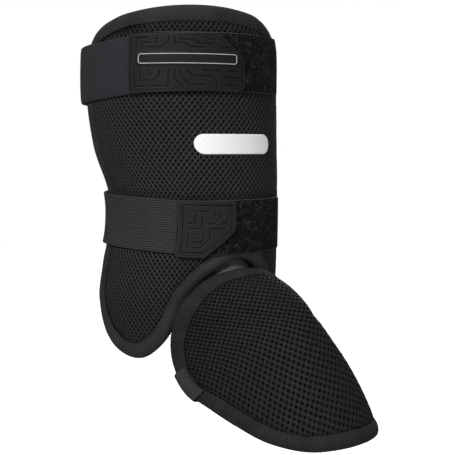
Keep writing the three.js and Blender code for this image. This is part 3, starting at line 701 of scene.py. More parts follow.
def hood_polar(p):
    """Turn t and share k of points given by direction and distance from the crown: the turn
    is looked up by direction, the share by distance over the path's whole length, and past
    the rim it goes on in step."""
    way = np.arctan2(p[..., 1], p[..., 0]) * WAY_SIGN
    way = WAYS[0] + (way - WAYS[0]) % (2 * np.pi)
    t = np.interp(way, np.r_[WAYS, WAYS[0] + 2 * np.pi], np.r_[TURNS, 1.0])
    total = np.interp(t, np.arange(RUN_TURNS + 1) / RUN_TURNS, RUNS[:, -1])
    share = np.clip(np.hypot(p[..., 0], p[..., 1]) / total, 0, 1.15)
    x, y = t * RUN_TURNS, np.clip(share, 0, 0.9999) * RUN_STEPS
    i, j = np.minimum(x.astype(int), RUN_TURNS - 1), y.astype(int)
    s, w = x - i, y - j
    k = ((1 - s) * (1 - w) * STEPS[i, j] + s * (1 - w) * STEPS[i + 1, j]
         + (1 - s) * w * STEPS[i, j + 1] + s * w * STEPS[i + 1, j + 1])
    return t, k + np.maximum(share - 1, 0)


def hood_point(x, y):
    """The hood's point at polar millimetres x, y from the crown."""
    return foot_polar(*hood_polar(np.stack([x, y], -1)))


def cloth_lie(p):
    """Cloth millimetres across and down of points in polar millimetres: the distances from
    the crown as seen from NET_TURN, plus a share of the way on past FLANK where the outer
    side turns away, less a share of the way back behind the crown. Both set in softly, as
    the logarithm of one plus an exponential."""
    reach = hood_point(p[..., 0], p[..., 1]) - CROWN_AT
    across = reach[..., 0] * math.cos(NET_TURN) + reach[..., 1] * math.sin(NET_TURN)
    past = FLANK_EASE * np.logaddexp(0, (p[..., 1] - FLANK) / FLANK_EASE)
    back = BACK_EASE * np.logaddexp(0, -(reach @ SLOPE) / BACK_EASE)
    return np.stack([across + FLANK_SHARE * past, -reach[..., 2] - BACK_SHARE * back], -1)


def cloth_place(target):
    """Polar millimetres of points given in cloth millimetres, by Newton steps from a rough
    guess, each at most longest mm; a point off the hood comes back at OFF_HOOD."""
    h, flattest, longest, tolerance = 0.2, 0.05, 8.0, 0.4
    p = target @ np.array([[0.37, 0.80], [0.82, 0.0]])
    for _ in range(16):
        miss = target - cloth_lie(p)
        du = (cloth_lie(p + [h, 0]) - cloth_lie(p - [h, 0])) / (2 * h)
        dv = (cloth_lie(p + [0, h]) - cloth_lie(p - [0, h])) / (2 * h)
        det = du[..., 0] * dv[..., 1] - du[..., 1] * dv[..., 0]
        det = np.where(np.abs(det) < flattest, flattest, det)
        step = np.stack([miss[..., 0] * dv[..., 1] - miss[..., 1] * dv[..., 0],
                         miss[..., 1] * du[..., 0] - miss[..., 0] * du[..., 1]], -1)
        step = step / det[..., None]
        size = np.linalg.norm(step, axis=-1, keepdims=True)
        p = p + step * np.minimum(1, longest / np.maximum(size, 1e-9))
    lost = np.linalg.norm(target - cloth_lie(p), axis=-1) > tolerance
    return np.where(lost[..., None], OFF_HOOD, p)


hood_at = lifted(hood_point, hood_side(hood_point))

# Places where the net folds in beside the tape: flat x, flat y, reach, in mm.
CREASES = [(-76, 94, 20), (-94, -100, 26), (-86, -130, 14)]
# How far the net is sunk under the tape, and how far the foam lies below the net, in mm.
SUNK, NET_DEPTH = 1.55, 1.5


def under_tape(depth, lap):
    """Lift beside the tape: SUNK down under it and eased up to nothing within 3 mm past it."""
    return -SUNK * (1 - smooth((depth - lap + 2.5) / 5.5))


def shin_swell(p):
    """Outer lift of the shin pad: sunk under the tape, then rising to 1.1 mm as one less an
    exponential of the depth, pressed down under the straps and folded in at the creases."""
    depth = shin_depth(p)
    crown = 1.1 * (1 - np.exp(-np.maximum(depth - SHIN_LAP, 0) / 13.0))
    press = smooth((strap_cover(p) + 6.0) / 6.0)
    fold = sum(np.exp(-((p[..., 0] - x) ** 2 + (p[..., 1] - y) ** 2) / reach**2)
               for x, y, reach in CREASES)
    fold *= peak(depth - SHIN_LAP, 1.4, 1.6)
    return under_tape(depth, SHIN_LAP) + crown * (1 - press) - 0.1 * press - 1.5 * fold


def foot_disc_swell(p):
    """Outer lift of the foot pad over the flattened disc: sunk under the tape, then rising
    to 1.5 mm as one less an exponential of the depth."""
    depth = foot_depth(p)
    crown = 1.5 * (1 - np.exp(-np.maximum(depth - FOOT_LAP, 0) / 15.0))
    return under_tape(depth, FOOT_LAP) + crown


def foot_swell(p):
    """The same over polar millimetres."""
    return foot_disc_swell(foot_flat(*hood_polar(p)))


def hashed(ij, seed):
    """A repeatable number from 0 to 1 for every pair of whole numbers."""
    v = np.sin(ij[..., 0] * 12.9898 + ij[..., 1] * 78.233 + seed * 37.719) * 43758.5453
    return v - np.floor(v)


# Steps round a net cell, in half cells, and the rings down into its hole: share of the outline,
# lift in mm, and tone, which paints shade deeper down the hole.
ROUND = np.array([(1, 1), (1, 0), (1, -1), (0, -1), (-1, -1), (-1, 0), (-1, 1), (0, 1)])
RINGS = [(0.66, 0.02, 0.52), (0.44, -0.38, 0.2), (0.38, -1.05, 0.0)]


def net(surface, swell, place, a, b, keep, bounds, lean, hole, painted_shade):
    """An open knitted net over a surface. Each cell of the lattice a, b is an eight-sided outline
    shared with its neighbours (knots at corners, strands between), with three rings down into a
    rounded hole, a closed bottom, and a flat back 1.3 mm below. lean says which strands stand
    proud: from -1, those along b, to 1, those along a; hole sizes the openings; the last argument
    says how much painted shade darkens the net at a place."""
    n = int(bounds / min(np.hypot(*a), np.hypot(*b))) + 2
    ij = np.stack(np.meshgrid(np.arange(-n, n), np.arange(-n, n), indexing="ij"), -1).reshape(-1, 2)
    ij = ij[keep(place(ij @ np.stack([a, b])))]
    half = np.stack([a, b]) / 2
    corners = 2 * ij[:, None] + ROUND[None]
    unique, index = np.unique(corners.reshape(-1, 2), axis=0, return_inverse=True)
    index = index.reshape(-1, 8)
    knot = (unique % 2 != 0).all(1)
    flat = place(unique @ half + (np.stack([hashed(unique, 1), hashed(unique, 2)], -1) - 0.5) * 0.3)
    base = swell(flat)
    proud = lean(flat) * np.where(unique[:, 0] % 2 == 0, 1, -1) * ~knot
    lift = base + np.where(knot, 0.14, -0.1) + 0.18 * proud + 0.12 * (hashed(unique, 3) - 0.5)
    outer = surface(flat, lift)
    back = surface(flat, base - 1.3)
    centre = flat[index].mean(1)
    sizes = hole * (0.90 + 0.24 * hashed(ij, 4))
    # Painted light on the knots and proud strands, a random tone, less the painted shade.
    shade = np.where(knot, 0.86, 0.62) + 0.3 * proud + 0.16 * (hashed(unique, 5) - 0.5) - painted_shade(flat)
    points, tones = [outer, back], [shade, np.zeros(len(flat))]
    starts = []
    start = 2 * len(flat)
    ring_base = swell(centre)
    for share, low, ring_shade in RINGS:
        size = share * (sizes[:, None, None] if share < 0.6 else 1.0)
        reach = flat[index] - centre[:, None]
        reach = reach * (1 - 0.16 * knot[index][..., None])
        ring = centre[:, None] + reach * size
        ring_lift = np.repeat((ring_base + low)[:, None], 8, 1)
        points.append(surface(ring, ring_lift).reshape(-1, 3))
        tones.append(np.maximum(np.repeat(ring_shade - ring_shade * painted_shade(centre), 8), 0))
        starts.append(start + np.arange(ring_lift.size).reshape(-1, 8))
        start += ring_lift.size
    loops = [index] + starts
    quads = [np.stack([p, np.roll(p, -1, 1), np.roll(q, -1, 1), q], -1).reshape(-1, 4)
             for p, q in zip(loops[:-1], loops[1:])]
    under = index[:, ::-1] + len(flat)
    p, q = index.ravel(), np.roll(index, -1, 1).ravel()
    key = np.minimum(p, q) * (len(flat) + 1) + np.maximum(p, q)
    _, inverse, count = np.unique(key, return_inverse=True, return_counts=True)
    rim = count[inverse] == 1
    wall = np.stack([q[rim], p[rim], p[rim] + len(flat), q[rim] + len(flat)], -1)
    faces = [np.concatenate(quads + [wall]), np.concatenate([starts[-1], under])]
    return np.vstack(points), faces, np.concatenate(tones)


def shin_painted_shade(p):
    """Painted shade on the net: above the upper strap, low on the lobe, and a painted shadow in the
    fold beside the tape at the top left and round the lobe's left side."""
    x, z = p[..., 0], p[..., 1]
    beside = peak(shin_depth(p) - SHIN_LAP, 0.8, 2.8)
    top_left = smooth((z - 78) / 14) * smooth((-30 - x) / 20)
    lobe_left = smooth((-72 - z) / 20) * smooth((-52 - x) / 16)
    return (0.24 * smooth((z - 80) / 10) + 0.16 * smooth((-92 - z) / 30)
            + 0.85 * beside * np.maximum(top_left, lobe_left))


def foot_painted_shade(p):
    """Painted shade on the foot net: a little darker on the outer side."""
    return 0.12 * smooth((p[..., 1] + 30) / 40)


# Height in mm at which the shin net hangs true.
CALF_LEVEL = 36


def shin_place(p):
    """Cloth millimetres on the shin: the net hangs straight down past the shin's sideways
    shift and is drawn together towards the inner side."""
    x, z = p[..., 0], p[..., 1]
    heights = np.stack([z, 0 * z + CALF_LEVEL]) / SHIN_HEIGHT
    shift = hermite(heights, SECTIONS[:, 0], SECTIONS[:, 3]) * CALF_RADIUS
    sheer = (shift[1] - shift[0]) * np.cos(np.clip(x / UNROLL_RADIUS, -1.5, 1.5)) * 0.9
    return np.stack([x + sheer + 0.0008 * np.minimum(x - 30, 0) ** 2, z], -1)


# Shin net: rows 2.64 mm apart, cells up to 4.3 mm wide, set as diamonds.
points, faces, tone = net(
    shin_at, shin_swell, shin_place, np.array([2.14, 2.64]), np.array([2.14, -2.64]),
    lambda p: (shin_depth(p) > SHIN_LAP - 1.2) & (strap_cover(p) < 5.0), 260,
    lambda p: 0.75 * np.tanh((p[..., 0] + 24) / 9) - 0.1, 1.08, shin_painted_shade)
make_piece("shin_net", points, faces, NET, tone=tone)

# Foot net: cells set askew to the slope.
points, faces, tone = net(
    hood_at, foot_swell, cloth_place, np.array([3.17, 1.16]), np.array([-0.83, 3.44]),
    lambda p: foot_depth(foot_flat(*hood_polar(p))) > FOOT_LAP - 1.2, 190,
    lambda p: 0.4, 1.16, foot_painted_shade)
make_piece("foot_net", points, faces, SHADED_FOOT_NET, tone=tone)


def pad(name, surface, rim, middle, depth_of, swell, lap, replaces):
    """The foam body of a pad, closed: rays from a middle point to the rim, out over the
    front at a lift below the net, round the edge and back over the lined inner face."""
    turns, rows = len(rim), 48
    shares = np.linspace(0, 1, rows) ** 0.9
    flat = middle + (rim[None] - middle) * shares[1:, None, None]
    depth = depth_of(flat)
    out = swell(flat) - NET_DEPTH
    ramp = smooth((depth - lap - 0.5) / RAMP)
    quilt = 0.22 * np.sin(flat[..., 0] * 0.21) * np.sin(flat[..., 1] * 0.17)
    inner = -(TAPE + GAP + EDGE_THICK) * (1 - ramp) - (PAD_THICK - 0.2 + quilt) * ramp
    front = surface(flat, np.minimum(out, -TAPE - GAP + 1.7 * ramp))
    back = surface(flat, inner)
    poles = [surface(middle[None], lift)
             for lift in (swell(middle[None]) - NET_DEPTH, inner[:1, :1].mean(1))]
    rings = np.concatenate([front, back[::-1]])
    count = 2 * (rows - 1)
    points = np.vstack([rings.reshape(-1, 3), poles[0], poles[1]])
    j = np.arange(turns)
    m = (j + 1) % turns
    tips = np.vstack([np.stack([m, j, 0 * j + count * turns], -1),
                      np.stack([(count - 1) * turns + j, (count - 1) * turns + m,
                                0 * j + count * turns + 1], -1)])
    uv = np.vstack([np.concatenate([flat, flat[::-1]]).reshape(-1, 2) / 1000,
                    middle[None] / 1000, middle[None] / 1000])
    piece = make_piece(name, points, [grid_faces(count, turns, False, True), tips],
                       LINING, replaces=replaces, uv=uv)


pad("shin_foam", shin_at, SHIN_RIM_LINE[::10], np.array([25.0, 10.0]), shin_depth, shin_swell,
    SHIN_LAP, ["shin_pad"])
pad("foot_foam", foot_at, FOOT_RIM_LINE[::8], np.array([0.0, 0.0]), foot_depth,
    foot_disc_swell, FOOT_LAP, ["foot_pad"])


# ---------------------------------------------------------------- edge tape
# Flat middle of the arch over the instep, where a painted highlight lightens the tape, and how far
# round.
ARCH_HIGHLIGHT, ARCH_HIGHLIGHT_REACH = (28.0, -82.0), (30, 16)


def tape(name, surface, rim, lap, ribs, finish_made, replaces):
    """Folded tape: a rounded C profile carried round the rim, ribbed across its length,
    gently puckered, and drawn in along the row of stitches near its edge."""
    into = inward(rim, 7.6)
    count = len(rim)
    run = np.arange(count) / count
    mid = -WALL / 2
    # Outer half of the section as depth and lift, from the inner edge to the fold.
    outer = np.array([
        (lap, -1.25), (lap + 0.1, -0.75), (lap - 0.2, -0.28), (lap - 1.0, -0.12),
        (lap - 1.7, -0.2), (lap - 2.6, 0.10), (lap - 4.2, 0.42), (lap - 6.0, 0.50),
        (lap - 7.8, 0.35), (1.2, -0.05), (0.0, -0.45), (-0.9, -1.25), (-1.55, -2.5),
        (-1.8, mid)])
    inner = np.stack([outer[:-1, 0], 2 * mid - outer[:-1, 1]], -1)[::-1]
    seat = np.array([(lap, 2 * mid + TAPE + 0.05), (-0.4, 2 * mid + TAPE), (-0.4, -TAPE),
                     (lap, -TAPE - 0.05)])
    profile = np.vstack([outer, inner, seat])
    seen = len(outer) + len(inner)
    steps = np.arange(seen)
    weight = np.r_[np.minimum(1, np.minimum(steps, steps[::-1]) / 2.0), np.zeros(len(seat))]
    slant = 0.24 * np.minimum(np.arange(len(profile)), seen)
    waves = np.cos(2 * np.pi * (ribs * run[:, None] + slant))
    slow = sum(w * np.sin(2 * np.pi * (k * run + ph)) for k, w, ph in
               ((11, 0.10, 0.1), (23, 0.12, 0.43), (37, 0.08, 0.77), (59, 0.06, 0.2)))
    edge0 = surface(rim, np.zeros(count))
    away = edge0 - surface(rim + into * 0.5, np.zeros(count))
    away /= np.linalg.norm(away, axis=1, keepdims=True)
    rings = []
    for (d, lift), w, wave in zip(profile, weight, waves.T):
        rib = 0.17 * wave
        height = lift + (rib + slow * 0.5) * w * (1 if lift > mid else -1)
        deep = max(d, 0) + (0.9 * slow if d > lap - 2 else 0 * slow)
        beyond = max(-d, 0) + (rib * w if d < -0.5 else 0 * rib)
        rings.append(surface(rim + into * deep[:, None], height) + away * beyond[:, None])
    rings = np.stack(rings, 1)
    across = np.linspace(0, 0.03, len(profile))
    uv = np.stack(np.broadcast_arrays(run[:, None] * 0.7, across[None]), -1).reshape(-1, 2)
    points, faces = tube(rings, True)
    # Painted highlight on the tape over the arch.
    arch_highlight = np.exp(-(((rim - ARCH_HIGHLIGHT) / ARCH_HIGHLIGHT_REACH) ** 2).sum(1))
    # The tone paints shade in the ribs' grooves and light on their tops, and light and shade over
    # the puckers.
    tone = 0.5 + (0.45 * waves + 0.3 * slow[:, None]) * weight[None] + 0.5 * arch_highlight[:, None]
    make_piece(name, points, faces, finish_made, replaces=replaces, uv=uv, tone=tone)
    line = rim + into * (lap - 1.75)
    line = np.vstack([line, line[:1]])
    parts = [stitch_line(surface, line, -0.16), stitch_line(surface, line, 2 * mid + 0.16)]
    points, faces = gather(parts)
    make_piece(name.replace("tape", "tape_stitches"), points, faces, THREAD)


tape("shin_tape", shin_at, SHIN_RIM_LINE, SHIN_LAP, SHIN_RIBS, TAPE_CLOTH, ["shin_binding"])
tape("foot_tape", foot_at, FOOT_RIM_LINE, FOOT_LAP, FOOT_RIBS, SHADED_FOOT_TAPE, ["foot_binding"])


# ---------------------------------------------------------------- straps
def strap(name, path, width, count, ribs, finish_made, replaces):
    """A strap: its cross section, rounded at both edges and ribbed lengthwise, carried
    along the path and laid on the shin's surface at every point."""
    line = catmull(path * [1, SHIN_HEIGHT, 3], count, closed=False)
    n = ribs * 4 + 1 if ribs else 56
    x = np.linspace(-1, 1, n)
    round_off = np.sqrt(np.clip(1 - np.abs(x) ** 60, 0, 1)) * 0.5 + 0.5 * (1 - np.abs(x) ** 24)
    if ribs:
        relief = 0.34 * (np.abs(np.sin(np.pi * ribs * (x + 1) / 2)) ** 0.8 - 1)
    else:
        relief = (-0.05 * (1 - np.cos(2 * np.pi * 30 * (x + 1) / 2))
                  - 0.28 * peak(np.abs(x), 0.90, 0.018))
    top = STRAP_THICK / 2 + (STRAP_THICK / 2 + relief) * round_off
    low = STRAP_THICK / 2 - (STRAP_THICK / 2 + relief) * round_off
    ring = np.vstack([np.stack([x, top], -1), np.stack([x, low], -1)[::-1][1:-1]])
    across = ring[:, 0][None] * width / 2
    wave = 0.25 * np.sin(np.arange(count) * 0.19)[:, None]
    points, faces = tube(shin_spot(line[:, :1], line[:, 1:2] + across + wave * 0.4,
                                   line[:, 2:3] / 3 + ring[:, 1][None]), False)
    hops = np.linalg.norm(np.diff(line * [1.3, 1, 0], axis=0), axis=1)
    run = np.r_[0, np.cumsum(hops)] / 1000
    uv = np.stack(np.broadcast_arrays(run[:, None], across / 1000), -1).reshape(-1, 2)
    # The tone paints shade into the grooves between the ribs.
    tone = np.clip(1.0 + relief / 0.36, 0, 1) if ribs else 1.0 + relief
    tone = np.broadcast_to(np.r_[tone, tone[::-1][1:-1]], (count, ring.shape[0]))
    make_piece(name, points, faces, finish_made, replaces=replaces, uv=uv, tone=tone)


strap("upper_strap_cloth", UPPER_PATH, UPPER_WIDTH, 230, 0, STRAP_CLOTH, ["upper_strap"])
strap("lower_strap_elastic", LOWER_PATH, LOWER_WIDTH, 190, 23, ELASTIC,
      ["lower_strap"])


# ---------------------------------------------------------------- plates laid on the shin
def column_grid(outline, across, up, corner=2.0):
    """Columns between the lower and upper edge of an outline given as turn and share of
    SHIN_HEIGHT; the end columns are shortened so that the corners come out round."""
    (low, high) = [np.array(rows, float) for rows in outline]
    for rows in (low, high):
        rows[:, 0] = np.radians(rows[:, 0]) * UNROLL_RADIUS
        rows[:, 1] *= SHIN_HEIGHT
    s = np.linspace(0, 1, across)
    left, right = (low[0, 0], high[0, 0]), (low[-1, 0], high[-1, 0])
    x = left[0] + (right[0] - left[0]) * s
    edge = np.minimum(x - x[0], x[-1] - x)
    arc = corner - np.sqrt(np.clip(corner**2 - (corner - edge) ** 2, 0, None))
    short = np.where(edge < corner, arc, 0)
    bottom = np.interp(x, low[:, 0], low[:, 1]) + short
    top = np.interp(x, high[:, 0], high[:, 1]) - short
    w = np.linspace(0, 1, up)[:, None]
    flat = np.stack([np.broadcast_to(x, (up, across)), bottom + (top - bottom) * w], -1)
    edge = np.concatenate([flat[0], flat[1:, -1], flat[-1, -2::-1], flat[-2:0:-1, 0]])
    return flat, flat_depth(edge, 0.5)(flat)


def segment_distance(p, rows):
    """Least distance from points to a table of straight lines x0, y0, x1, y1."""
    a, b = rows[:, :2], rows[:, 2:]
    edge = b - a
    t = np.clip(((p[..., None, :] - a) * edge).sum(-1) / (edge**2).sum(-1), 0, 1)
    return np.linalg.norm(p[..., None, :] - a - t[..., None] * edge, axis=-1).min(-1)


# Rows of the plain inner face under a plate.
UNDER_ROWS = 7


def plate(name, flat, lift, under, finish_made, replaces, tone):
    """A closed piece laid on the shin: its outer face at lift over the flat grid, and its
    inner one at under, over a few of the grid's rows."""
    picked = np.linspace(0, len(flat) - 1, UNDER_ROWS).astype(int)
    base = flat[picked]
    points, faces = two_faced(shin_at(flat, lift), shin_at(base, under + 0 * lift[picked]))
    uv = np.concatenate([flat.reshape(-1, 2), base.reshape(-1, 2)]) / 1000
    tones = np.concatenate([tone.ravel(), tone[picked].ravel()])
    make_piece(name, points, faces, finish_made, replaces=replaces, uv=uv, tone=tones)


def local(flat):
    """Millimetres from a plate's lower left corner."""
    return flat - flat.reshape(-1, 2).min(0)


# Grooves of the moulded tabs: broken lines of straight and 45 degree runs, x and y in mm.
UPPER_GROOVES = [
    [(6, 33.5), (6, 40), (14, 40)], [(10, 33.5), (10, 36.5), (20, 36.5), (20, 41)],
    [(14, 33.2), (24, 33.2), (28, 37.2), (28, 41)],
    [(32, 41), (32, 36), (39, 36), (42, 33.2), (52, 33.2)],
    [(36, 41), (36, 38.6), (45, 38.6), (48, 35.8), (58, 35.8)],
    [(52, 41), (56, 38.8), (60, 38.8)],
    [(62, 33.2), (68, 33.2)], [(5, 16), (5, 5), (12, 5)],
    [(9, 16.5), (9, 9), (18, 9), (22, 13), (22, 16.5)],
    [(13, 16.5), (16.5, 13)], [(16, 5), (28, 5), (28, 16.5)], [(32, 16.5), (32, 10), (38, 4)],
    [(36, 16.5), (36, 12), (42, 6), (52, 6)],
    [(40, 16.5), (44, 12.5), (56, 12.5), (60, 8.5), (60, 4)],
    [(50, 16.5), (62, 16.5), (67, 11.5), (76, 11.5)], [(68, 16.5), (76, 16.5)], [(66, 6), (76, 6)]]
LOWER_GROOVES = [
    [(3.6, 4.6), (3.6, 39.6), (41, 38.6), (41, 21.8), (20.4, 3.8), (3.6, 4.6)],
    [(8, 8), (8, 18), (14, 18)], [(12, 8), (18, 8), (24, 14), (24, 22), (36, 22)],
    [(8, 22), (18, 22), (18, 31)], [(8, 26), (13, 26), (13, 35), (24, 35)],
    [(22, 26), (28, 26), (36, 34)],
    [(27, 30), (27, 35)], [(32, 26), (37, 26), (37, 30)], [(12, 12), (19, 12), (19, 17)],
    [(31, 34.6), (31, 31)]]


def straight_runs(lines):
    """Broken lines as a table of straight runs x0, y0, x1, y1."""
    return np.array([[*p, *q] for line in lines for p, q in zip(line[:-1], line[1:])], float)


def moulded_tab(name, outline, grooves, low, across, up, finish_made, replaces, band=None):
    """A moulded tab: a rounded edge, a raised border, grooves 0.5 mm deep and, where asked,
    a raised plain band given by its middle x, y and half length and half height."""
    flat, depth = column_grid(outline, across, up)
    p = local(flat)
    far = segment_distance(p, straight_runs(grooves))
    groove = np.exp(-(far / 0.5) ** 4) * smooth((depth - 2.0) / 0.6)
    lip = peak(far, 0.95, 0.35) * smooth((depth - 2.0) / 0.6)
    raised = np.zeros(depth.shape)
    if band:
        x, y = np.abs(p[..., 0] - band[0]) - band[2] + 2, np.abs(p[..., 1] - band[1]) - band[3] + 2
        far = 2 - np.hypot(np.maximum(x, 0), np.maximum(y, 0)) - np.minimum(np.maximum(x, y), 0)
        groove *= 1 - smooth((far + 1.6) / 0.6)
        raised = smooth((far + 0.25) / 0.5)
    border = smooth((depth - 0.1) / 0.3) * (1 - smooth((depth - 0.7) / 0.3))
    dip = peak(depth, 1.35, 0.3)
    height = (TAB_THICK * (0.35 + 0.65 * rounded(depth, 1.0)) + 0.12 * border - 0.5 * groove
              - 0.2 * dip + 0.3 * raised + 0.08 * lip)
    # The tone paints a highlight on the border and the grooves' lips, and shade in the grooves and
    # the dip.
    tone = np.clip(0.5 + 0.4 * border - 0.5 * groove - 0.25 * dip + 0.12 * lip, 0, 1)
    plate(name, flat, low + height, low, finish_made, replaces, tone)


# Lower and upper edges of the tabs: degrees round, share of SHIN_HEIGHT.
UPPER_TAB_SHAPE = ([(-35.5, 0.160), (29, 0.170)], [(-35.5, 0.325), (12.5, 0.331), (29, 0.258)])
LOWER_TAB_SHAPE = ([(-16, -0.302), (1, -0.307), (19.6, -0.230)], [(-16, -0.140), (19.6, -0.146)])
# The upper tab's raised band: middle x and y, half length and half height, in mm.
UPPER_BAND = (41.0, 25.0, 34.5, 5.0)
moulded_tab("upper_tab_moulded", UPPER_TAB_SHAPE, UPPER_GROOVES, TAB_LIFT, 220, 113, TAB,
            ["upper_tab"], UPPER_BAND)
moulded_tab("lower_tab_moulded", LOWER_TAB_SHAPE, LOWER_GROOVES, TAB_LIFT, 124, 113, LOW_TAB,
            ["lower_tab"])


def value_noise(p, step, seed):
    """Smooth random heights from -1 to 1 on a square lattice of the given step."""
    i = np.floor(p / step)
    f = smooth(p / step - i)
    c = [hashed(i + s, seed) for s in ((0, 0), (1, 0), (0, 1), (1, 1))]
    low = c[0] + (c[1] - c[0]) * f[..., 0]
    high = c[2] + (c[3] - c[2]) * f[..., 0]
    return 2 * (low + (high - low) * f[..., 1]) - 1


def corners(outline):
    """An outline's corners in flat millimetres, in order round."""
    rows = np.array(outline[0] + outline[1][::-1], float)
    return shin_flat(rows[:, 0], rows[:, 1] * SHIN_HEIGHT)


def fibre_shape(length=1.3, radius=0.07, rise=0.4):
    """A loop of pile: a three-sided thread bent up in its middle."""
    a = np.arange(3) * 2 * np.pi / 3
    rings = [np.stack([x * length + 0 * a, radius * np.cos(a), z * rise + radius * np.sin(a)], -1)
             for x, z in ((-0.5, -0.3), (-0.15, 1.0), (0.2, 0.9), (0.5, -0.3))]
    ends = np.array([[0, 2, 1], [9, 10, 11]])
    return np.vstack(rings), [grid_faces(4, 3, False, True), ends]


def loop_pad(name, outline, across, up, replaces, cover, fibres, seed):
    """Loop pile: three octaves of random height, a firm pale selvage with a stitched dip
    beside it, and bent fibres at random places where no tab covers the pile."""
    flat, depth = column_grid(outline, across, up, 1.5)
    fuzz = sum(w * value_noise(flat, s, seed + s)
               for w, s in ((0.5, 0.9), (0.35, 2.1), (0.25, 6.0)))
    selvage = smooth((depth - 0.05) / 0.3) * (1 - smooth((depth - 0.8) / 0.4))
    dip = peak(depth, 1.6, 0.45)
    edge = rounded(depth, 0.8)
    height = (LOOP_THICK * (0.3 + 0.7 * edge) + 0.32 * fuzz * (1 - selvage) * edge
              + 0.12 * selvage - 0.3 * dip)
    # The tone is lighter where the pile stands higher, partly random tone and partly painted light
    # on its tufts; painted shade darkens the stitched dip; it is lighter along the selvage.
    tone = np.clip(0.36 + 0.75 * fuzz * (1 - selvage) + 0.62 * selvage - 0.3 * dip, 0, 1)
    plate(name, flat, STRAP_LIFT + height, STRAP_LIFT, PILE, replaces, tone)
    rng = np.random.default_rng(seed)
    rim = corners(outline)
    spots = rng.uniform(rim.min(0) + 2.6, rim.max(0) - 2.6, (fibres * 3, 2))
    spots = spots[flat_depth(cover)(spots) < 0.3][:fibres]
    turn = rng.uniform(0, 2 * np.pi, len(spots))
    aim = 0.3 * np.stack([np.cos(turn), np.sin(turn)], -1)
    low = np.full(len(spots), STRAP_LIFT + LOOP_THICK)
    at = shin_at(spots, low)
    points, faces = scatter(at, shin_at(spots + aim, low) - at, shin_at(spots, low + 1) - at,
                            *fibre_shape())
    make_piece(name + "_fibres", points, faces, PILE, tone=np.full(len(points), 0.62))
    (x0, y0), (x1, y1) = rim.min(0) + 2.2, rim.max(0) - 2.2
    line = [(x0, y0), (x1, y0), (x1, y1), (x0, y1), (x0, y0)]
    points, faces = stitch_line(shin_at, line, STRAP_LIFT + LOOP_THICK - 0.15, radius=0.24)
    make_piece(name + "_stitches", points, faces, THREAD)


loop_pad("upper_pile", ([(-22, 0.165), (67, 0.165)], [(-22, 0.333), (67, 0.333)]), 170, 73,
         ["upper_loop_pad"], corners(UPPER_TAB_SHAPE), 900, 3)
loop_pad("lower_pile", ([(-7.5, -0.302), (69, -0.296)], [(-7.5, -0.142), (69, -0.140)]), 150, 73,
         ["lower_loop_pad"], corners(LOWER_TAB_SHAPE), 1100, 7)


# ---------------------------------------------------------------- white bar
def band_line(surface_lift, half=0.32, count=260):
    """A thin pale line printed round inside the tab's raised band."""
    x0, y0, wide, tall = UPPER_BAND
    wide, tall, r = wide - 1.6, tall - 1.6, 1.6
    turn = (np.arange(count // 4) + 0.5) / (count // 4) * np.pi / 2
    quarters = ((1, 1, 0), (-1, 1, np.pi / 2), (-1, -1, np.pi), (1, -1, -np.pi / 2))
    mid = np.vstack([np.stack([sx * (wide - r) + r * np.cos(turn + q),
                               sy * (tall - r) + r * np.sin(turn + q)], -1)
                     for sx, sy, q in quarters])
    mid = catmull(mid, count)
    into = inward(mid, 1.0)
    low = corners(UPPER_TAB_SHAPE).min(0) + [x0, y0]
    rings = [shin_at(low + mid + into * s, np.full(count, surface_lift + h))
             for s, h in ((-half, -0.1), (-half * 0.8, 0.1), (half * 0.8, 0.1), (half, -0.1))]
    points, faces = tube(np.stack(rings, 1), True)
    make_piece("band_line", points, faces, PRINT)


band_line(TAB_LIFT + TAB_THICK + 0.3)


def white_bar(across=150, up=33, half=26.0, radius=7.5):
    """A thin film with round ends that follows the net and shows its knots faintly."""
    x = (half + radius - 0.02) * np.sin(np.linspace(-np.pi / 2, np.pi / 2, across))
    tall = np.sqrt(radius**2 - np.maximum(np.abs(x) - half, 0) ** 2)
    flat = np.stack([np.broadcast_to(x, (up, across)), np.linspace(-1, 1, up)[:, None] * tall], -1)
    depth = radius - np.hypot(np.maximum(np.abs(flat[..., 0]) - half, 0), flat[..., 1])
    flat = flat + shin_flat(25.0, 0.017 * SHIN_HEIGHT)
    i = (flat[..., 0] / 2.28 + flat[..., 1] / 2.64) * np.pi
    j = (flat[..., 0] / 2.28 - flat[..., 1] / 2.64) * np.pi
    show = -0.035 * (np.cos(i) + np.cos(j)) * smooth((depth - 0.4) / 1.0)
    base = shin_swell(flat)
    picked = np.linspace(0, up - 1, UNDER_ROWS).astype(int)
    top = shin_at(flat, base + 0.2 + 0.4 * rounded(depth, 0.5) + show)
    points, faces = two_faced(top, shin_at(flat[picked], base[picked]))
    make_piece("white_film", points, faces, FILM, replaces=["white_bar"])


white_bar()


# ---------------------------------------------------------------- elastic strip, keeper, sole strap
def spread(count, n):
    """Weights of a uniform Catmull-Rom spline through n points at count even stations."""
    x = np.linspace(0, n - 1, count)
    i = np.minimum(x.astype(int), n - 2)
    t = x - i
    out = np.zeros((count, n + 2))
    weights = (2 * t**2 - t**3 - t, 3 * t**3 - 5 * t**2 + 2, 4 * t**2 - 3 * t**3 + t, t**3 - t**2)
    for k, w in enumerate(weights):
        out[np.arange(count), i + k] += w / 2
    out[:, 1] += 2 * out[:, 0]
    out[:, 2] -= out[:, 0]
    out[:, n] += 2 * out[:, n + 1]
    out[:, n - 1] -= out[:, n + 1]
    return out[:, 1:-1]


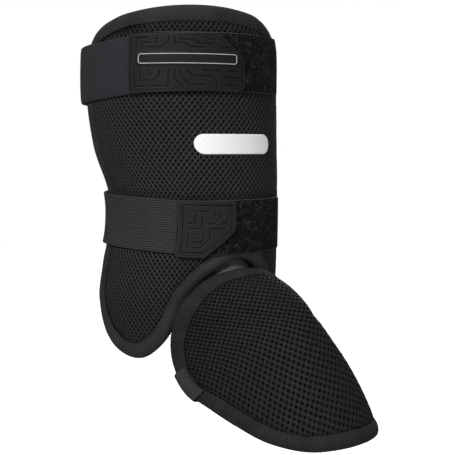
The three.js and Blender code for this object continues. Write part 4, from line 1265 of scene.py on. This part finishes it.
def ribbon(name, rails, cols, rows, finish_made, replaces, ribs, relief, lengthwise=False):
    """A strip between rails of paired outer and inner points, splined both ways, rounded at
    its two long edges and ribbed across or along."""
    lines = np.stack([catmull([[*p, *q] for p, q in rail], rows, False) for rail in rails])
    grid = np.einsum("cr,rsk->csk", spread(cols, len(rails)), lines)
    a, b = grid[..., :3], grid[..., 3:]
    x = np.linspace(-1, 1, cols)[:, None, None]
    s = np.linspace(0, 1, rows)[None, :, None]
    full = 0.3 + 0.7 * np.sqrt(np.clip(1 - np.abs(x) ** 18, 0, 1))
    wave = np.abs(np.sin(np.pi * ribs * ((x + 1) / 2 if lengthwise else s))) ** 0.8 - 1
    half = (a - b) / 2
    reach = half * full + half / np.linalg.norm(half, axis=-1, keepdims=True) * relief * wave * full
    points, faces = two_faced((a + b) / 2 + reach, (a + b) / 2 - reach)
    wide = np.linalg.norm(grid[0, 0, :3] - grid[-1, 0, :3])
    long = np.linalg.norm(np.diff(a[0], axis=0), axis=1).sum()
    uv = np.stack(np.broadcast_arrays((x * wide / 2000)[..., 0], (s * long / 1000)[..., 0]), -1)
    uv = np.concatenate([uv.reshape(-1, 2)] * 2)
    # The tone paints shade into the grooves between the ribs.
    tone = np.broadcast_to((1 + wave)[..., 0], grid.shape[:2]).ravel()
    make_piece(name, points, faces, finish_made, replaces=replaces, uv=uv,
               tone=np.r_[tone, tone])


# Thickness of the instep strip and the sole strap.
RIBBON_THICK = 1.6


def foot_spot(t, depth, lift):
    """A point of the foot guard: at turn t, depth mm in from the rim, at a lift."""
    return foot_at(foot_flat(t, 1 - depth / foot_length(t)), np.asarray(lift, float))


def over_rim(t, out, lift):
    """A point off the rim: the rim's at a lift, moved on by out mm away from the hood."""
    away = foot_spot(t, 0, 0) - foot_spot(t, 0.5, 0)
    return foot_spot(t, 0, lift) + away / np.linalg.norm(away) * out


def pair(spot, lift):
    """An outer point at a lift and the inner one RIBBON_THICK below it."""
    return [spot(lift), spot(lift - RIBBON_THICK)]


# Elastic between the shin's arch and the foot guard: turn, arch edge, place on the foot rim.
HINGE = [(-4, -0.392, 0.417), (5, -0.366, 0.434), (15, -0.332, 0.457), (25, -0.318, 0.477),
         (35, -0.330, 0.495), (44, -0.362, 0.510), (51, -0.394, 0.522)]
ribbon("ribbed_instep", [[
    pair(lambda lift: shin_spot(turn, -0.223 * SHIN_HEIGHT, lift), -PAD_THICK - 0.5),
    pair(lambda lift: shin_spot(turn, -0.269 * SHIN_HEIGHT, lift), -PAD_THICK - 0.5),
    pair(lambda lift: shin_spot(turn, edge * SHIN_HEIGHT, lift), -WALL - 0.8),
    pair(lambda lift: foot_spot(t, 3, lift), -WALL - 0.6),
    pair(lambda lift: foot_spot(t, 0.08 * FOOT_LENGTH, lift), -PAD_THICK - 0.5),
    pair(lambda lift: foot_spot(t, 0.147 * FOOT_LENGTH, lift), -PAD_THICK - 0.5)]
    for turn, edge, t in HINGE], 33, 181, LIT_INSTEP_ELASTIC, ["instep_elastic"],
    ribs=36, relief=0.4)

# Turns of the sole strap's rails at the keeper and at its outer end, and the way out past
# the rim that clears the tape.
KEEPER = [0.243, 0.2585, 0.274, 0.2895]
OUTER_END = [0.742, 0.728, 0.714, 0.700]
RIM_OUT = TAPE + GAP + 0.7
ribbon("keeper_cloth", [[
    [foot_spot(t, FOOT_LAP + 0.5, 0.5), foot_spot(t, FOOT_LAP + 0.5, 2)],
    [foot_spot(t, 1.2, 0.6), foot_spot(t, 1.2, 2.1)],
    [over_rim(t, RIM_OUT, -1.6), over_rim(t, RIM_OUT + 1.5, -1.1)],
    [over_rim(t, RIM_OUT, -WALL + 1.2), over_rim(t, RIM_OUT + 1.5, -WALL + 0.7)],
    [foot_spot(t, 1.2, -WALL - 0.9), foot_spot(t, 1.2, -WALL - 2.4)],
    [foot_spot(t, FOOT_LAP - 1.5, -WALL - 0.9), foot_spot(t, FOOT_LAP - 1.5, -WALL - 2.4)]]
    for t in KEEPER], 41, 73, KEEPER_CLOTH, ["sole_keeper"],
    ribs=20, relief=0.06, lengthwise=True)
rows = [foot_flat(np.linspace(0.2455, 0.287, 12), 1 - d / foot_length(0.266))
        for d in (FOOT_LAP - 0.8, 2.6)]
points, faces = gather([stitch_line(foot_at, row, 2.05) for row in rows])
make_piece("keeper_stitches", points, faces, THREAD)


def sole_rail(t, far):
    """One rail of the sole strap: flat on the keeper, bowed down under the sole, flat again."""
    lows = [pair(lambda lift: foot_spot(at, depth, lift), -WALL - drop) for at, depth, drop in
            ((t, FOOT_LAP - 1.5, 2.9), (t, 2.5, 2.9), (far, 2.5, 0.8), (far, FOOT_LAP + 1.5, 0.8))]
    middle = []
    for share in (0.17, 0.34, 0.5, 0.66, 0.83):
        bow = math.sin(math.pi * share)
        low = lows[1][0] * (1 - share) + lows[2][0] * share - np.array([0, 0, 5 * bow])
        inner = ((lows[1][1] - lows[1][0]) * (1 - share) + (lows[2][1] - lows[2][0]) * share
                 + np.array([0, 0, RIBBON_THICK * bow]))
        middle.append([low, low + RIBBON_THICK * inner / np.linalg.norm(inner)])
    return [lows[0], lows[1], *middle, lows[2], lows[3]]


ribbon("ribbed_sole_strap", [sole_rail(t, far) for t, far in zip(KEEPER, OUTER_END)], 57, 90,
       ELASTIC, ["sole_strap"], ribs=14, relief=0.35, lengthwise=True)


# ---------------------------------------------------------------- camera, light, floor
PHOTO_PX = 455
# Strength of the white surround as light; the camera sees it at 1.
AMBIENT = 0.34


def set_camera():
    """The photograph's camera: 10 degrees to the inner side, 4 degrees down, 870 mm off."""
    az, pitch, dist = math.radians(-10), math.radians(4.07), 870.0
    axis_px, focal = 190.9, 1087.0
    flat = Vector((math.sin(az), -math.cos(az), 0))
    right = Vector((math.cos(az), math.sin(az), 0))
    back = flat * math.cos(pitch) + Vector((0, 0, 1)) * math.sin(pitch)
    up = back.cross(right)
    at = flat * dist + right * ((PHOTO_PX / 2 - axis_px) * dist / focal) - Vector(ORIGIN)
    data = bpy.data.cameras.new("photo_camera")
    data.sensor_width = 36.0
    data.lens = focal / PHOTO_PX * data.sensor_width
    data.clip_start = 0.01
    cam = bpy.data.objects.new("photo_camera", data)
    bpy.context.scene.collection.objects.link(cam)
    cam.matrix_world = Matrix((
        (right.x, up.x, back.x, at.x / 1000), (right.y, up.y, back.y, at.y / 1000),
        (right.z, up.z, back.z, at.z / 1000), (0, 0, 0, 1)))
    bpy.context.scene.camera = cam


set_camera()


def area_light(name, at, look, size, watts):
    """A round lamp at a place in metres, turned to look at a point."""
    data = bpy.data.lights.new(name, "AREA")
    data.shape = "DISK"
    data.size = size
    data.energy = watts
    light = bpy.data.objects.new(name, data)
    bpy.context.scene.collection.objects.link(light)
    light.location = at
    light.rotation_euler = (Vector(look) - Vector(at)).to_track_quat("-Z", "Y").to_euler()


area_light("key_light", (-0.9, -1.3, 1.0), (0, 0, 0), 0.8, 36)
area_light("fill_light", (0.5, -1.6, -0.1), (0, 0, -0.05), 0.9, 8)
area_light("top_light", (0.1, 0.0, 1.5), (0, 0, 0), 0.9, 10)
area_light("rim_light", (0.5, 1.4, 0.5), (0, 0, 0), 0.9, 10)


def set_world():
    """A white surround: AMBIENT in strength as light, and 1 where the camera sees it."""
    world = bpy.data.worlds.new("studio")
    bpy.context.scene.world = world
    world.use_nodes = True
    tree = world.node_tree
    seen = tree.nodes.new("ShaderNodeLightPath")
    level = tree.nodes.new("ShaderNodeMapRange")
    settle(level, To_Min=AMBIENT)
    settle(tree.nodes["Background"], Color=(1, 1, 1, 1))
    tree.links.new(seen.outputs["Is Camera Ray"], level.inputs["Value"])
    tree.links.new(level.outputs[0], tree.nodes["Background"].inputs["Strength"])
    bpy.context.scene.view_settings.view_transform = "Standard"


set_world()


def studio_floor():
    """A large pale plane well below the guard, which is held up."""
    mesh = bpy.data.meshes.new("studio_floor")
    half, level = 6, -0.6
    mesh.from_pydata([(x * half, y * half, level) for x, y in ((-1, -1), (1, -1), (1, 1), (-1, 1))],
                     [], [(0, 1, 2, 3)])
    made = bpy.data.materials.new("pale_floor")
    made.use_nodes = True
    shader = made.node_tree.nodes["Principled BSDF"]
    settle(shader, Base_Color=(0.5, 0.5, 0.5, 1), Roughness=1.0, Specular_IOR_Level=0.0,
           Emission_Color=(1, 1, 1, 1))
    seen = made.node_tree.nodes.new("ShaderNodeLightPath")
    made.node_tree.links.new(seen.outputs["Is Camera Ray"], shader.inputs["Emission Strength"])
    mesh.materials.append(made)
    floor = bpy.data.objects.new("studio_floor", mesh)
    bpy.context.scene.collection.objects.link(floor)


studio_floor()
